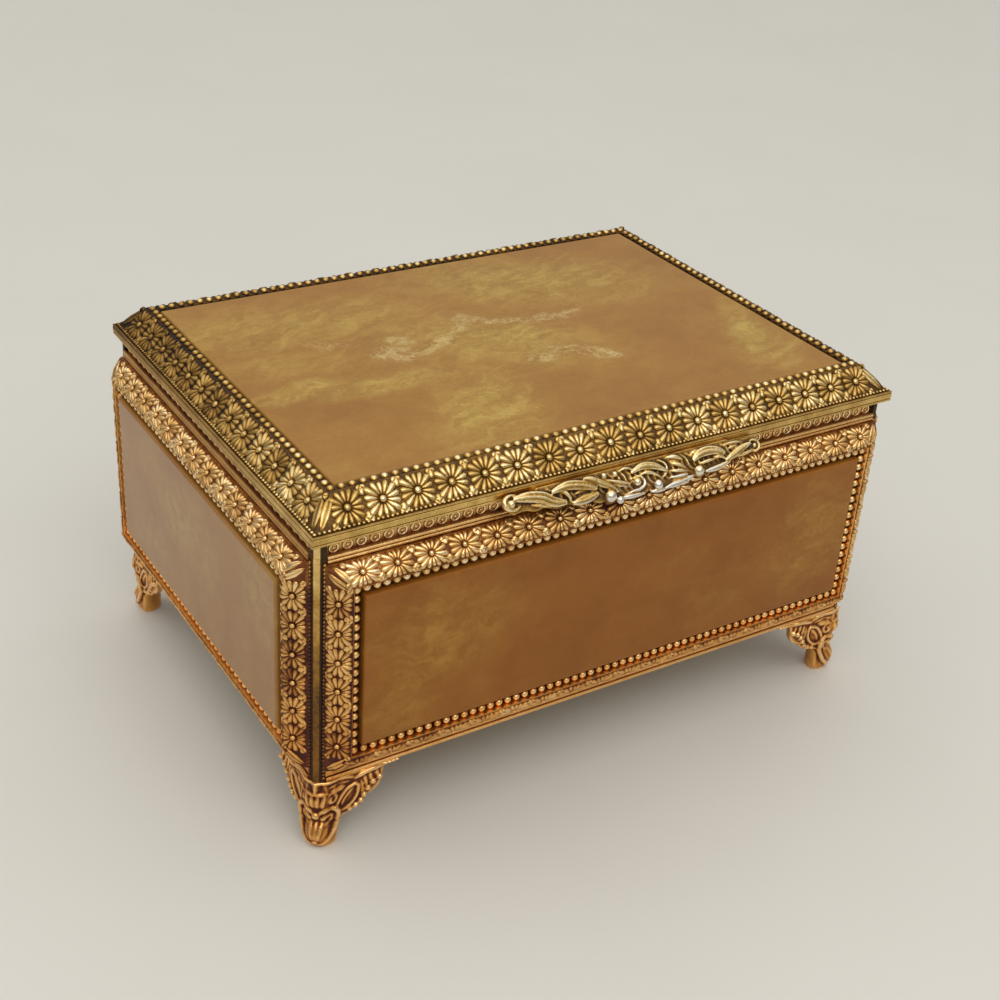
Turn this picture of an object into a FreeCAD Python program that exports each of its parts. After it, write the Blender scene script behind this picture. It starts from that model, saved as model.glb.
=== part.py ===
import FreeCAD, Part
import math
import os

from FreeCAD import Vector

# Trinket box on four scroll feet: polished stone slabs in sloped cast frames, under a hinged lid.
# X runs along the front, the front faces -Y and Z is up. The origin is on the table under the middle.

# Plan of the lid's rim, the largest plain outline
rim_length = 114.3
rim_depth = 82.3
rim_overhang = 0.9

# Heights from the table up
foot_height = 13.8
base_strip = 3.05
base_lip = 0.4
window_height = 29.0
neck_height = 3.15
lid_gap = 0.1
rim_height = 1.4

# Sloped moulding round each slab
bead_width = 1.6
side_slope_width = 2.75
side_slope_drop = 2.9
side_step = 0.6
fillet_width = 0.7
lid_ledge = 0.7
lid_slope_width = 4.0
lid_slope_drop = 4.2

# Walls and corner posts
wall_back = 1.5
neck_setback = 0.7
post_lap = 0.5
post_chamfer = 1.1
post_flange = 4.0
post_flange_thickness = 0.8

# Stone slabs
stone_thickness = 2.8
stone_clearance = 0.4
stone_sink = 0.1
stone_edge = 0.5

# Base tray and the screws that hold the feet
fit = 0.1
tray_thickness = 1.2
tray_upstand = 0.8
foot_screw_inset = 5.6
foot_screw_radius = 0.9
foot_screw_head_radius = 1.6
foot_screw_length = 3.0
screw_clearance = 0.02

# Feet
pad_radius = 11.0
pad_thickness = 2.0
wing_length = 15.5
wing_drop = 8.2
wing_thickness = 2.0
wing_proud = 0.8
wing_chamfer = 1.2
leg_inset = 2.4
leg_half_width = 3.2
leg_half_depth = 2.6

# Hinges
hinge_spread = 56.0
hinge_width = 14.0
barrel_radius = 1.1
pin_radius = 0.5
pin_clearance = 0.04
leaf_thickness = 0.6
knuckle_gap = 0.15
leaf_clearance = 0.2
lid_leaf_reach = 5.5
body_leaf_height = 8.0
hinge_screw_radius = 0.45
hinge_screw_head_radius = 0.9
hinge_screw_head_height = 0.35
hinge_screw_depth = 1.2

# Velvet linings
lining_offset = 1.2
lining_thickness = 1.5
lining_clearance = 0.2
floor_thickness = 2.0
lid_pad_recess = 0.9
lid_pad_thickness = 1.6
lid_pad_margin = 1.0
lining_round = 0.5

# Leaf spray on the lid's front rim
spray_half_length = 25.5
spray_depth = 5.5
spray_thickness = 1.2
spray_tilt = 55.0
leaf_crown = 1.1
boss_radius = 1.9

# Swelling of a wall's moulding, from its outer edge to the beads, as shares of its width and drop
swell_shares = [(0.0, 0.0), (0.2, 0.38), (0.5, 0.72), (1.0, 1.0)]

# Scallops of a foot wing, from its tip to the leg, as shares of its length and drop
wing_shares = [(1.0, 0.06), (0.79, 0.36), (0.62, 0.68), (0.45, 0.9), (0.22, 1.0)]
wing_bulge_share = 0.18

# Bow of a foot wing, from its top down, as shares of how far it stands proud and of its drop
bow_shares = [(0.35, 0.0), (0.9, 0.22), (1.0, 0.45), (0.7, 0.75), (0.1, 1.05)]

# Leg sections: height share, width share, depth share, outward shift share of the depth
leg_shares = [
    (0.0, 0.76, 0.74, 0.2),
    (0.17, 0.97, 0.92, 0.35),
    (0.34, 0.9, 0.78, 0.12),
    (0.45, 0.82, 0.68, -0.08),
    (0.64, 0.95, 0.94, 0.2),
    (0.84, 1.06, 1.0, 0.15),
    (1.0, 1.12, 1.06, 0.0),
]

# Lower edge of the spray, from the middle to the tip, as shares of its half length and depth
spray_shares = [(0.0, 0.94), (0.2, 0.92), (0.38, 0.8), (0.6, 0.7), (0.8, 0.58), (0.94, 0.54)]
spray_bulge_share = 0.3
spray_tip_share = 0.2
spray_shoulder_share = 0.72

# Leaves on the spray: start and end as shares of the half length, then of the depth
leaf_shares = [(0.1, 0.5, 0.3, 0.62), (0.34, 0.78, 0.22, 0.5), (0.62, 0.97, 0.18, 0.4)]

screw_spread_share = 0.3
body_screw_share = 0.6
lid_screw_share = 0.62

# Places that follow from the sizes
core_x = rim_length / 2 - rim_overhang
core_y = rim_depth / 2 - rim_overhang
post_end = wall_back + post_lap
side_moulding = bead_width + side_slope_width
lid_moulding = bead_width + lid_slope_width + lid_ledge
face_proud = side_step + side_slope_drop
moulding_bottom = foot_height + base_strip
window_bottom = moulding_bottom + side_moulding
window_top = window_bottom + window_height
moulding_top = window_top + side_moulding
neck_base = moulding_top + 2 * fillet_width
neck_top = neck_base + neck_height
lid_bottom = neck_top + lid_gap
rim_top = lid_bottom + rim_height
lid_face = rim_top + lid_slope_drop
inner_x = core_x - wall_back
inner_y = core_y - wall_back
tray_top = foot_height + tray_thickness
floor_top = tray_top + floor_thickness
tray_rim = floor_top
hinge_y = core_y
hinge_z = lid_bottom - lid_gap - barrel_radius
hinge_places = (("left", -hinge_spread / 2), ("right", hinge_spread / 2))
knuckle_width = (hinge_width - 2 * knuckle_gap) / 3


def block(low, high):
    """Box between two corners."""
    size = Vector(*high) - Vector(*low)
    return Part.makeBox(size.x, size.y, size.z, Vector(*low))


def outline(points):
    """Closed wire through corners."""
    corners = [Vector(*p) for p in points]
    return Part.makePolygon(corners + corners[:1])


def prism(points, travel):
    """Flat outline pushed along a vector."""
    return Part.Face(outline(points)).extrude(Vector(*travel))


def rod(start, end, radius):
    """Round bar between two points."""
    run = Vector(*end) - Vector(*start)
    return Part.makeCylinder(radius, run.Length, Vector(*start), run)


def upright(half_run, low, high, y):
    """Rectangle standing in a plane of constant y."""
    return outline([(-half_run, y, low), (half_run, y, low), (half_run, y, high), (-half_run, y, high)])


def level(half_x, half_y, z):
    """Rectangle lying in a plane of constant z."""
    return outline([(-half_x, -half_y, z), (half_x, -half_y, z), (half_x, half_y, z), (-half_x, half_y, z)])


def round_border(corners, radius):
    """Round moulding along a closed loop, with rounded corners."""
    pieces = []
    for start, end in zip(corners, corners[1:] + corners[:1]):
        pieces.append(rod(start, end, radius))
        pieces.append(Part.makeSphere(radius, Vector(*start)))
    return pieces[0].fuse(pieces[1:])


def joined(pieces):
    """One clean solid from overlapping pieces."""
    return pieces[0].fuse(pieces[1:]).removeSplitter()


def turned(shape, angle):
    """Copy turned about the upright axis."""
    copy = shape.copy()
    copy.rotate(Vector(0, 0, 0), Vector(0, 0, 1), angle)
    return copy


def mirrored(shape, across_x, across_y):
    """Copy mirrored to another corner of the plan."""
    copy = shape
    if across_x:
        copy = copy.mirror(Vector(0, 0, 0), Vector(1, 0, 0))
    if across_y:
        copy = copy.mirror(Vector(0, 0, 0), Vector(0, 1, 0))
    return copy


def wall_frame(corner_run, reach):
    """Cast frame of one wall, built as the front: sloped moulding, fillets, neck and base strip."""
    half_run = corner_run - post_end
    face = -reach - face_proud
    plate = block((-half_run, -reach, foot_height), (half_run, -reach + wall_back, neck_base))
    step = block((-half_run, -reach - side_step, moulding_bottom), (half_run, -reach, moulding_top))
    stages = []
    for width_share, drop_share in swell_shares:
        inset = width_share * side_slope_width
        y = -reach - side_step - drop_share * side_slope_drop
        stages.append(upright(half_run - inset, moulding_bottom + inset, moulding_top - inset, y))
    slope = Part.makeLoft(stages, True)
    neck_outer = corner_run - neck_setback
    neck_inner = corner_run - wall_back
    neck = prism(
        [
            (-neck_outer, -reach + neck_setback, neck_base),
            (neck_outer, -reach + neck_setback, neck_base),
            (neck_inner, -reach + wall_back, neck_base),
            (-neck_inner, -reach + wall_back, neck_base),
        ],
        (0, 0, neck_height),
    )
    fillets = []
    low_fillet = moulding_top + fillet_width / 2
    rods = [
        (low_fillet, fillet_width / 2),
        (low_fillet + fillet_width, fillet_width / 2),
        (foot_height + base_lip, base_lip),
    ]
    for z, radius in rods:
        fillets.append(rod((-half_run, -reach, z), (half_run, -reach, z), radius))
    bead_run = half_run - side_slope_width - bead_width / 2
    bead_low = window_bottom - bead_width / 2
    bead_high = window_top + bead_width / 2
    beads = round_border(
        [
            (-bead_run, face, bead_low),
            (bead_run, face, bead_low),
            (bead_run, face, bead_high),
            (-bead_run, face, bead_high),
        ],
        bead_width / 2,
    )
    window = half_run - side_moulding
    recess = block(
        (-window, face - bead_width, window_bottom),
        (window, face + stone_sink + stone_thickness, window_top),
    )
    return joined([plate, step, slope, neck, beads] + fillets).cut(recess)


def wall_stone(corner_run, reach):
    """Polished slab of one wall, built as the front, with softened front edges."""
    half_run = corner_run - post_end - side_moulding - stone_clearance
    front = -reach - face_proud + stone_sink
    slab = block(
        (-half_run, front, window_bottom + stone_clearance),
        (half_run, front + stone_thickness, window_top - stone_clearance),
    )
    rim = [e for e in slab.Edges if abs(e.CenterOfMass.y - front) < fit]
    return slab.makeFillet(stone_edge, rim)


def corner_post():
    """Plain chamfered strip of the front left corner, with an inner angle that the frames are soldered to."""
    def placed(points, z):
        return [(-core_x + a, -core_y + b, z) for a, b in points]

    nose = prism(
        placed(
            [
                (post_chamfer, 0),
                (post_end, 0),
                (post_end, wall_back),
                (wall_back, wall_back),
                (wall_back, post_end),
                (0, post_end),
                (0, post_chamfer),
            ],
            foot_height,
        ),
        (0, 0, neck_base - foot_height),
    )
    near = wall_back
    far = wall_back + post_flange
    leg = wall_back + post_flange_thickness
    flange_base = tray_rim + fit
    flange = prism(
        placed([(near, near), (far, near), (far, leg), (leg, leg), (leg, far), (near, far)], flange_base),
        (0, 0, neck_base - flange_base),
    )
    return joined([nose, flange])


def scalloped(points, bulge_share, side):
    """Row of arcs through points, each arc bulging to one side of its chord."""
    arcs = []
    for start, end in zip(points, points[1:]):
        chord = end - start
        bow = Vector(-chord.y, chord.x, 0) * (bulge_share * side)
        arcs.append(Part.Arc(start, (start + end) * 0.5 + bow, end).toShape())
    return arcs


def wing_bow():
    """Bowed sheet that a foot wing is cut from, along the front of the front left corner."""
    outer = [Vector(0, -b * wing_proud, -d * wing_drop) for b, d in bow_shares]
    inner = [point + Vector(0, wing_thickness, 0) for point in outer]
    curves = []
    for points in (outer, inner):
        curve = Part.BSplineCurve()
        curve.interpolate(points)
        curves.append(curve.toShape())
    ends = [Part.makeLine(outer[0], inner[0]), Part.makeLine(outer[-1], inner[-1])]
    section = Part.Face(Part.Wire(Part.__sortEdges__(curves + ends)))
    sheet = section.extrude(Vector(wing_proud + wing_length, 0, 0))
    sheet.translate(Vector(-wing_proud, 0, 0))
    return sheet


def foot_wing():
    """Leaf wing of the front left foot, along the front."""
    edge = [Vector(a * wing_length, -d * wing_drop, 0) for a, d in wing_shares]
    arcs = scalloped(edge, wing_bulge_share, 1)
    tip = Vector(wing_length, 0, 0)
    heel = Vector(-wing_proud, -wing_drop, 0)
    corner = Vector(-wing_proud, 0, 0)
    sides = [
        Part.makeLine(corner, tip),
        Part.makeLine(tip, edge[0]),
        Part.makeLine(edge[-1], heel),
        Part.makeLine(heel, corner),
    ]
    cutter = Part.Face(Part.Wire(Part.__sortEdges__(sides + arcs))).extrude(Vector(0, 0, wing_length))
    cutter.rotate(Vector(0, 0, 0), Vector(1, 0, 0), 90)
    cutter.translate(Vector(0, wing_length / 2, 0))
    far = wing_chamfer + wing_length
    nose = prism(
        [
            (-wing_length, -wing_length, -foot_height),
            (far, -wing_length, -foot_height),
            (-wing_length, far, -foot_height),
        ],
        (0, 0, 2 * foot_height),
    )
    wing = wing_bow().common(cutter).cut(nose)
    wing.translate(Vector(-core_x, -core_y, foot_height))
    return wing


def foot_leg():
    """Bowed leg and scroll toe of the front left foot, lofted through ovals set across the corner."""
    rings = []
    for height, width, depth, shift in leg_shares:
        oval = Part.Ellipse(Vector(0, 0, 0), width * leg_half_width, depth * leg_half_depth).toShape()
        ring = Part.Wire([oval])
        ring.translate(Vector(0, -shift * leg_half_depth, height * foot_height))
        ring.rotate(Vector(0, 0, 0), Vector(0, 0, 1), -45)
        ring.translate(Vector(leg_inset - core_x, leg_inset - core_y, 0))
        rings.append(ring)
    return Part.makeLoft(rings, True)


def foot():
    """Front left foot: leg, two leaf wings and the pad that the tray is screwed to."""
    corner = Vector(-core_x, -core_y, foot_height - pad_thickness)
    near_x = corner + Vector(pad_radius, 0, 0)
    near_y = corner + Vector(0, pad_radius, 0)
    reach = pad_radius * math.sqrt(0.5)
    arc = Part.Arc(near_x, corner + Vector(reach, reach, 0), near_y).toShape()
    rim = Part.Wire([Part.makeLine(corner, near_x), arc, Part.makeLine(near_y, corner)])
    pad = Part.Face(rim).extrude(Vector(0, 0, pad_thickness))
    wing = foot_wing()
    other_wing = wing.mirror(corner, Vector(1, -1, 0))
    return joined([foot_leg(), pad, wing, other_wing]).cut(foot_screw(screw_clearance))


def foot_screw(extra):
    """Countersunk screw of the front left foot, or its hole when made larger."""
    place = Vector(foot_screw_inset - core_x, foot_screw_inset - core_y, tray_top)
    shank = foot_screw_radius + extra
    head = foot_screw_head_radius + extra
    drop = foot_screw_head_radius - foot_screw_radius
    down = Vector(0, 0, -1)
    cone = Part.makeCone(head, shank, drop, place, down)
    return cone.fuse(Part.makeCylinder(shank, foot_screw_length, place, down)).removeSplitter()


def four_corners(shape):
    """The front left piece and its mirror images, by corner name."""
    return {
        "front_left": shape,
        "front_right": mirrored(shape, True, False),
        "back_left": mirrored(shape, False, True),
        "back_right": mirrored(shape, True, True),
    }


def base_tray():
    """Sheet bottom with a turned-up edge, drilled for the foot screws."""
    half_x = inner_x - fit
    half_y = inner_y - fit
    outer = block((-half_x, -half_y, foot_height), (half_x, half_y, tray_rim))
    well_x = half_x - tray_upstand
    well_y = half_y - tray_upstand
    well = block((-well_x, -well_y, tray_top), (well_x, well_y, tray_rim + fit))
    holes = list(four_corners(foot_screw(screw_clearance)).values())
    return outer.cut([well] + holes)


def along_x(x, width, radius):
    """Round bar of a hinge, centred on x."""
    return rod((x - width / 2, hinge_y, hinge_z), (x + width / 2, hinge_y, hinge_z), radius)


def hinge_screw_places(x):
    """Left and right of a hinge's middle."""
    return (x - hinge_width * screw_spread_share, x + hinge_width * screw_spread_share)


def lid_screw(x, extra):
    """Screw that holds a lid leaf, or its hole when made larger."""
    y = hinge_y - lid_leaf_reach * lid_screw_share
    z = lid_bottom - leaf_thickness
    head = rod((x, y, z - hinge_screw_head_height), (x, y, z), hinge_screw_head_radius)
    shank = rod((x, y, z), (x, y, lid_bottom + hinge_screw_depth), hinge_screw_radius + extra)
    return head.fuse(shank)


def body_screw(x, extra):
    """Screw that holds a body leaf, or its hole when made larger."""
    y = inner_y - leaf_thickness
    z = hinge_z - barrel_radius + leaf_thickness - body_leaf_height * body_screw_share
    head = rod((x, y - hinge_screw_head_height, z), (x, y, z), hinge_screw_head_radius)
    shank = rod((x, y, z), (x, inner_y + hinge_screw_depth, z), hinge_screw_radius + extra)
    return head.fuse(shank)


def lid_leaf(x):
    """Hinge leaf under the lid, with the middle knuckle."""
    top = lid_bottom
    low = lid_bottom - leaf_thickness
    front = hinge_y - lid_leaf_reach
    strap = block((x - knuckle_width / 2, front, low), (x + knuckle_width / 2, hinge_y, top))
    plate = block(
        (x - hinge_width / 2, front, low),
        (x + hinge_width / 2, hinge_y - barrel_radius - leaf_clearance, top),
    )
    leaf = joined([along_x(x, knuckle_width, barrel_radius), strap, plate])
    holes = [along_x(x, hinge_width, pin_radius + pin_clearance)]
    holes += [lid_screw(place, screw_clearance) for place in hinge_screw_places(x)]
    return leaf.cut(holes)


def body_leaf(x):
    """Hinge leaf inside the back wall, with the two outer knuckles."""
    low = hinge_z - barrel_radius
    back = inner_y - leaf_thickness
    top = low + leaf_thickness
    pieces = [block((x - hinge_width / 2, back, top - body_leaf_height), (x + hinge_width / 2, inner_y, top))]
    for side in (-1, 1):
        middle = x + side * (knuckle_width + knuckle_gap)
        pieces.append(along_x(middle, knuckle_width, barrel_radius))
        pieces.append(
            block((middle - knuckle_width / 2, back, low), (middle + knuckle_width / 2, hinge_y, top))
        )
    holes = [along_x(x, hinge_width, pin_radius + pin_clearance)]
    holes += [body_screw(place, screw_clearance) for place in hinge_screw_places(x)]
    return joined(pieces).cut(holes)


def back_frame():
    """Back casting: a wall frame with its neck notched for the hinges."""
    cuts = []
    for _, x in hinge_places:
        half = hinge_width / 2 + leaf_clearance
        cuts.append(block((x - half, inner_y - fit, neck_base), (x + half, core_y, neck_top + fit)))
        cuts += [body_screw(place, screw_clearance) for place in hinge_screw_places(x)]
    return turned(wall_frame(core_x, core_y), 180).cut(cuts)


def lid_frame():
    """Cast lid: rim, ledge with a fine bead, slope, bead row, and recesses for the slab and the pad."""
    half_x = rim_length / 2
    half_y = rim_depth / 2
    slab = block((-half_x, -half_y, lid_bottom), (half_x, half_y, rim_top))
    foot_of_slope = level(half_x - lid_ledge, half_y - lid_ledge, rim_top)
    inset = lid_ledge + lid_slope_width
    slope = Part.makeLoft([foot_of_slope, level(half_x - inset, half_y - inset, lid_face)], True, True)
    bead_x = half_x - inset - bead_width / 2
    bead_y = half_y - inset - bead_width / 2
    beads = round_border(
        [
            (-bead_x, -bead_y, lid_face),
            (bead_x, -bead_y, lid_face),
            (bead_x, bead_y, lid_face),
            (-bead_x, bead_y, lid_face),
        ],
        bead_width / 2,
    )
    fine_x = half_x - lid_ledge
    fine_y = half_y - lid_ledge
    fine_beads = round_border(
        [
            (-fine_x, -fine_y, rim_top),
            (fine_x, -fine_y, rim_top),
            (fine_x, fine_y, rim_top),
            (-fine_x, fine_y, rim_top),
        ],
        lid_ledge / 2,
    )
    window_x = half_x - lid_moulding
    window_y = half_y - lid_moulding
    recess = block(
        (-window_x, -window_y, lid_face - stone_sink - stone_thickness),
        (window_x, window_y, lid_face + bead_width),
    )
    pad_x, pad_y = lid_pad_halves(0)
    pad_well = block((-pad_x, -pad_y, lid_bottom - fit), (pad_x, pad_y, lid_bottom + lid_pad_recess))
    cuts = [recess, pad_well]
    for _, x in hinge_places:
        cuts += [lid_screw(place, screw_clearance) for place in hinge_screw_places(x)]
    return joined([slab, slope, beads, fine_beads]).cut(cuts)


def lid_stone():
    """Polished slab of the lid, with softened top edges."""
    half_x = rim_length / 2 - lid_moulding - stone_clearance
    half_y = rim_depth / 2 - lid_moulding - stone_clearance
    top = lid_face - stone_sink
    slab = block((-half_x, -half_y, top - stone_thickness), (half_x, half_y, top))
    rim = [e for e in slab.Edges if abs(e.CenterOfMass.z - top) < fit]
    return slab.makeFillet(stone_edge, rim)


def spray_outline():
    """Outline of the leaf spray, laid flat: X along the rim, -Y outward."""
    right = [Vector(u * spray_half_length, -v * spray_depth, 0) for u, v in spray_shares]
    left = [Vector(-p.x, p.y, 0) for p in reversed(right)]
    lower = left[:-1] + right
    tip = Vector(spray_half_length, -spray_tip_share * spray_depth, 0)
    shoulder = Vector(spray_shoulder_share * spray_half_length, spray_thickness, 0)
    upper = [right[-1], tip, shoulder]
    upper += [Vector(-p.x, p.y, 0) for p in reversed(upper)]
    sides = [Part.makeLine(a, b) for a, b in zip(upper, upper[1:])]
    return Part.Wire(Part.__sortEdges__(scalloped(lower, spray_bulge_share, -1) + sides))


def spray_leaf(share, side):
    """Raised leaf of the spray: a spindle that lies half sunk in it."""
    start_u, end_u, start_v, end_v = share
    start = Vector(side * start_u * spray_half_length, -start_v * spray_depth, spray_thickness)
    end = Vector(side * end_u * spray_half_length, -end_v * spray_depth, spray_thickness)
    crown = (start + end) * 0.5 + Vector(0, 0, leaf_crown)
    arc = Part.Arc(start, crown, end).toShape()
    face = Part.Face(Part.Wire([arc, Part.makeLine(end, start)]))
    return face.revolve(start, end - start, 360)


def thumb_piece():
    """Cast leaf spray that leans out from the lid's front rim."""
    pieces = [Part.Face(spray_outline()).extrude(Vector(0, 0, spray_thickness))]
    for side in (-1, 1):
        pieces += [spray_leaf(share, side) for share in leaf_shares]
    pieces.append(Part.makeSphere(boss_radius, Vector(0, -spray_depth / 2, spray_thickness / 2)))
    spray = joined(pieces)
    spray.rotate(Vector(0, 0, 0), Vector(1, 0, 0), spray_tilt)
    front = -rim_depth / 2
    spray.translate(Vector(0, front, lid_bottom))
    behind = block((-rim_length, front, 0), (rim_length, 0, lid_face + spray_depth))
    return spray.cut(behind)


def lid_pad_halves(clearance):
    """Half sizes of the lid's pad, clear of the hinge leaves."""
    room_x = inner_x - lining_offset - lining_thickness - clearance
    room_y = hinge_y - lid_leaf_reach - lid_pad_margin - clearance
    return room_x, room_y


def lining(low, high):
    """Velvet-covered card with softened upright and top edges."""
    card = block(low, high)
    return card.makeFillet(lining_round, [e for e in card.Edges if abs(e.CenterOfMass.z - high[2]) < fit])


def linings():
    """Floor and wall linings of the box, and the pad in the lid."""
    far_x = inner_x - lining_offset
    far_y = inner_y - lining_offset
    near_x = far_x - lining_thickness
    near_y = far_y - lining_thickness
    side_y = near_y - lining_clearance
    top = neck_base - lining_clearance
    pad_x, pad_y = lid_pad_halves(fit)
    pad_top = lid_bottom + lid_pad_recess
    pad = lining((-pad_x, -pad_y, -pad_top), (pad_x, pad_y, lid_pad_thickness - pad_top))
    return {
        "floor_lining": lining((-far_x, -far_y, tray_top), (far_x, far_y, floor_top)),
        "front_lining": lining((-far_x, -far_y, floor_top), (far_x, -near_y, top)),
        "back_lining": lining((-far_x, near_y, floor_top), (far_x, far_y, top)),
        "left_lining": lining((-far_x, -side_y, floor_top), (-near_x, side_y, top)),
        "right_lining": lining((near_x, -side_y, floor_top), (far_x, side_y, top)),
        "lid_lining": pad.mirror(Vector(0, 0, 0), Vector(0, 0, 1)),
    }


def hinges():
    """Two butt hinges: leaves and pins by side, and their screws as two groups."""
    nodes = {}
    for name, x in hinge_places:
        nodes["hinge_body_leaf_" + name] = body_leaf(x)
        nodes["hinge_lid_leaf_" + name] = lid_leaf(x)
        nodes["hinge_pin_" + name] = along_x(x, hinge_width, pin_radius)
    places = [place for _, x in hinge_places for place in hinge_screw_places(x)]
    nodes["hinge_body_screws"] = Part.makeCompound([body_screw(place, 0) for place in places])
    nodes["hinge_lid_screws"] = Part.makeCompound([lid_screw(place, 0) for place in places])
    return nodes


def all_nodes():
    """Every piece of the box by node name."""
    nodes = {
        "front_frame": wall_frame(core_x, core_y),
        "back_frame": back_frame(),
        "left_frame": turned(wall_frame(core_y, core_x), -90),
        "right_frame": turned(wall_frame(core_y, core_x), 90),
        "front_stone": wall_stone(core_x, core_y),
        "back_stone": turned(wall_stone(core_x, core_y), 180),
        "left_stone": turned(wall_stone(core_y, core_x), -90),
        "right_stone": turned(wall_stone(core_y, core_x), 90),
        "base_tray": base_tray(),
        "lid_frame": lid_frame(),
        "lid_stone": lid_stone(),
        "thumb_piece": thumb_piece(),
    }
    for name, shape in four_corners(corner_post()).items():
        nodes["corner_post_" + name] = shape
    for name, shape in four_corners(foot()).items():
        nodes["foot_" + name] = shape
    nodes["foot_screws"] = Part.makeCompound(list(four_corners(foot_screw(0)).values()))
    nodes.update(hinges())
    nodes.update(linings())
    return nodes


os.makedirs("parts", exist_ok=True)
for node, shape in all_nodes().items():
    shape.exportStep(os.path.join("parts", node + ".step"))
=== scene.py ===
import math
from itertools import product
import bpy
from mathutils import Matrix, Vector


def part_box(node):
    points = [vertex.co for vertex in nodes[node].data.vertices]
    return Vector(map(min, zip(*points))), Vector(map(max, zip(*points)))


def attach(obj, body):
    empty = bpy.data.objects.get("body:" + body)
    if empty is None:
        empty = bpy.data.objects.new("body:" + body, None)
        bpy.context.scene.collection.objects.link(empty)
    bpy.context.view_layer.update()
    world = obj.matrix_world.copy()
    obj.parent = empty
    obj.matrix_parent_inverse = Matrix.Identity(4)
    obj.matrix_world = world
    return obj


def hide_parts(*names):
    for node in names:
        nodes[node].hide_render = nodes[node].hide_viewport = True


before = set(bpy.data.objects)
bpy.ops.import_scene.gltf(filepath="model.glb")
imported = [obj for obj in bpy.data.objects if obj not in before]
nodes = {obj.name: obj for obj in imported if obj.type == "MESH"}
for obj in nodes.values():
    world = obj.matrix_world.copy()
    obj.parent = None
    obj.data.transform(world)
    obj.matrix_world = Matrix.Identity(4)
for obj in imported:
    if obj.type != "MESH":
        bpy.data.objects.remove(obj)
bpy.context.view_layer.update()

from types import SimpleNamespace

import bmesh
import bpy
import numpy as np
from mathutils import Matrix, Vector
from mathutils.bvhtree import BVHTree

MM = 0.001
rng = np.random.default_rng(7)

# Walls and posts, in millimetres
CORE_X, CORE_Y = 56.25, 40.25
WALL_BACK = 1.5
FOOT_TOP, PLATE_TOP = 13.8, 56.45
POST_END, POST_CHAMFER = 2.0, 1.2
# The last number of the line below darkens the posts' bead columns: painted shade on the posts' flats.
POST_BEAD, POST_BEAD_PITCH, POST_BEAD_LINE, POST_BEAD_SHADE = (0.33, 0.33, 0.30), 0.72, 1.58, 0.6
WINDOW_LOW, WINDOW_HIGH = 21.2, 50.2
WINDOW_MID = (WINDOW_LOW + WINDOW_HIGH) / 2
NECK_BASE, NECK_TOP, NECK_SETBACK = 55.95, 59.1, 0.7
HOOP_SIZE, HOOP_SEED = (0.74, 0.74, 0.24), (0.30, 0.30, 0.20)
HOOP_PITCH, HOOP_LINE, HOOP_CLEAR, HOOP_END = 2.3, 1.2, 1.2, 3.0
SIDE_MOULDING = 4.35
BAND_EDGE, BAND_CREST, SIDE_STEP = 4.8, 3.35, 0.5
BEAD, BEAD_LINE, BEAD_SEAT = 1.6, 0.68, 2.05
BASE_FILLET, FILLET, WALL_FILLETS = 0.4, 0.32, (55.38, 56.08)
WALL_STONE_PROUD = 3.4

# Lid
RIM_X, RIM_Y = 57.15, 41.15
LID_BOTTOM, RIM_TOP, LID_FACE = 59.2, 60.6, 64.8
LID_MOULDING, LID_LEDGE = 6.3, 0.7
LIP, LIP_BOTTOM = 0.75, 58.75
GROOVE = 0.13
STONE_BED, BED_LAP = 61.9, 1.4
PAD_WELL_X, PAD_WELL_Y, PAD_WELL_TOP = 52.05, 33.75, 60.1
HINGE_X, HINGE_HALF = 28.0, 7.2
HINGE_GAPS = [(x - HINGE_HALF, x + HINGE_HALF) for x in (-HINGE_X, HINGE_X)]

# Each side of the box: the way it faces and the gaps that it leaves for the hinges
SIDES = {
    "front": ((0, -1, 0), []),
    "back": ((0, 1, 0), HINGE_GAPS),
    "left": ((-1, 0, 0), []),
    "right": ((1, 0, 0), []),
}
RAILS = ("top", "bottom", "left", "right")
CORNERS = tuple(product((-1, 1), repeat=2))

# Flower bands: gap beside a flower, and the leaves and tongues round it
FLOWER_GAP, PETALS, SQUARENESS = 0.06, 14, 4.0
PETAL_CROWDING, PETAL_HEIGHT = 0.432, 0.42
PEARL_SHARE, PEARL_HEIGHT = 0.26, 0.55
LEAF_LENGTH, LEAF_HEIGHT, TONGUE_WIDTH = 1.20, 0.36, 0.60
WALL_BAND = SimpleNamespace(edge=0.12, leaf_at=(0.80, 0.92), leaf=0.62, tongue=1.4, mitre_gap=0.62, mitre_leaf=0.66)
LID_BAND = SimpleNamespace(edge=0.16, leaf_at=(0.75, 0.95), leaf=0.66, tongue=1.6, mitre_gap=0.8, mitre_leaf=0.84)
# Half the width of a level strip that carries a single row
STRIP = 5.0


class Value:
    """A socket of a finish. Sums on it add Math nodes."""

    def __init__(self, finish, socket):
        self.finish = finish
        self.socket = socket

    def sum(self, operation, first, second=0.0):
        return self.finish.node("Math", {"operation": operation}, {0: first, 1: second})

    def __add__(self, other):
        return self.sum("ADD", self, other)

    def __sub__(self, other):
        return self.sum("SUBTRACT", self, other)

    def __rsub__(self, other):
        return self.sum("SUBTRACT", other, self)

    def __mul__(self, other):
        return self.sum("MULTIPLY", self, other)

    def __or__(self, other):
        return self.sum("MAXIMUM", self, other)

    def __abs__(self):
        return self.sum("ABSOLUTE", self)

    def held(self):
        """The value kept between 0 and 1."""
        return self.finish.node("Clamp", {}, {"Value": self})

    def eased(self, start, end):
        """A soft step from 0 at start to 1 at end."""
        limits = {"Value": self, "From Min": start, "From Max": end}
        return self.finish.node("MapRange", {"interpolation_type": "SMOOTHSTEP"}, limits)


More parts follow.
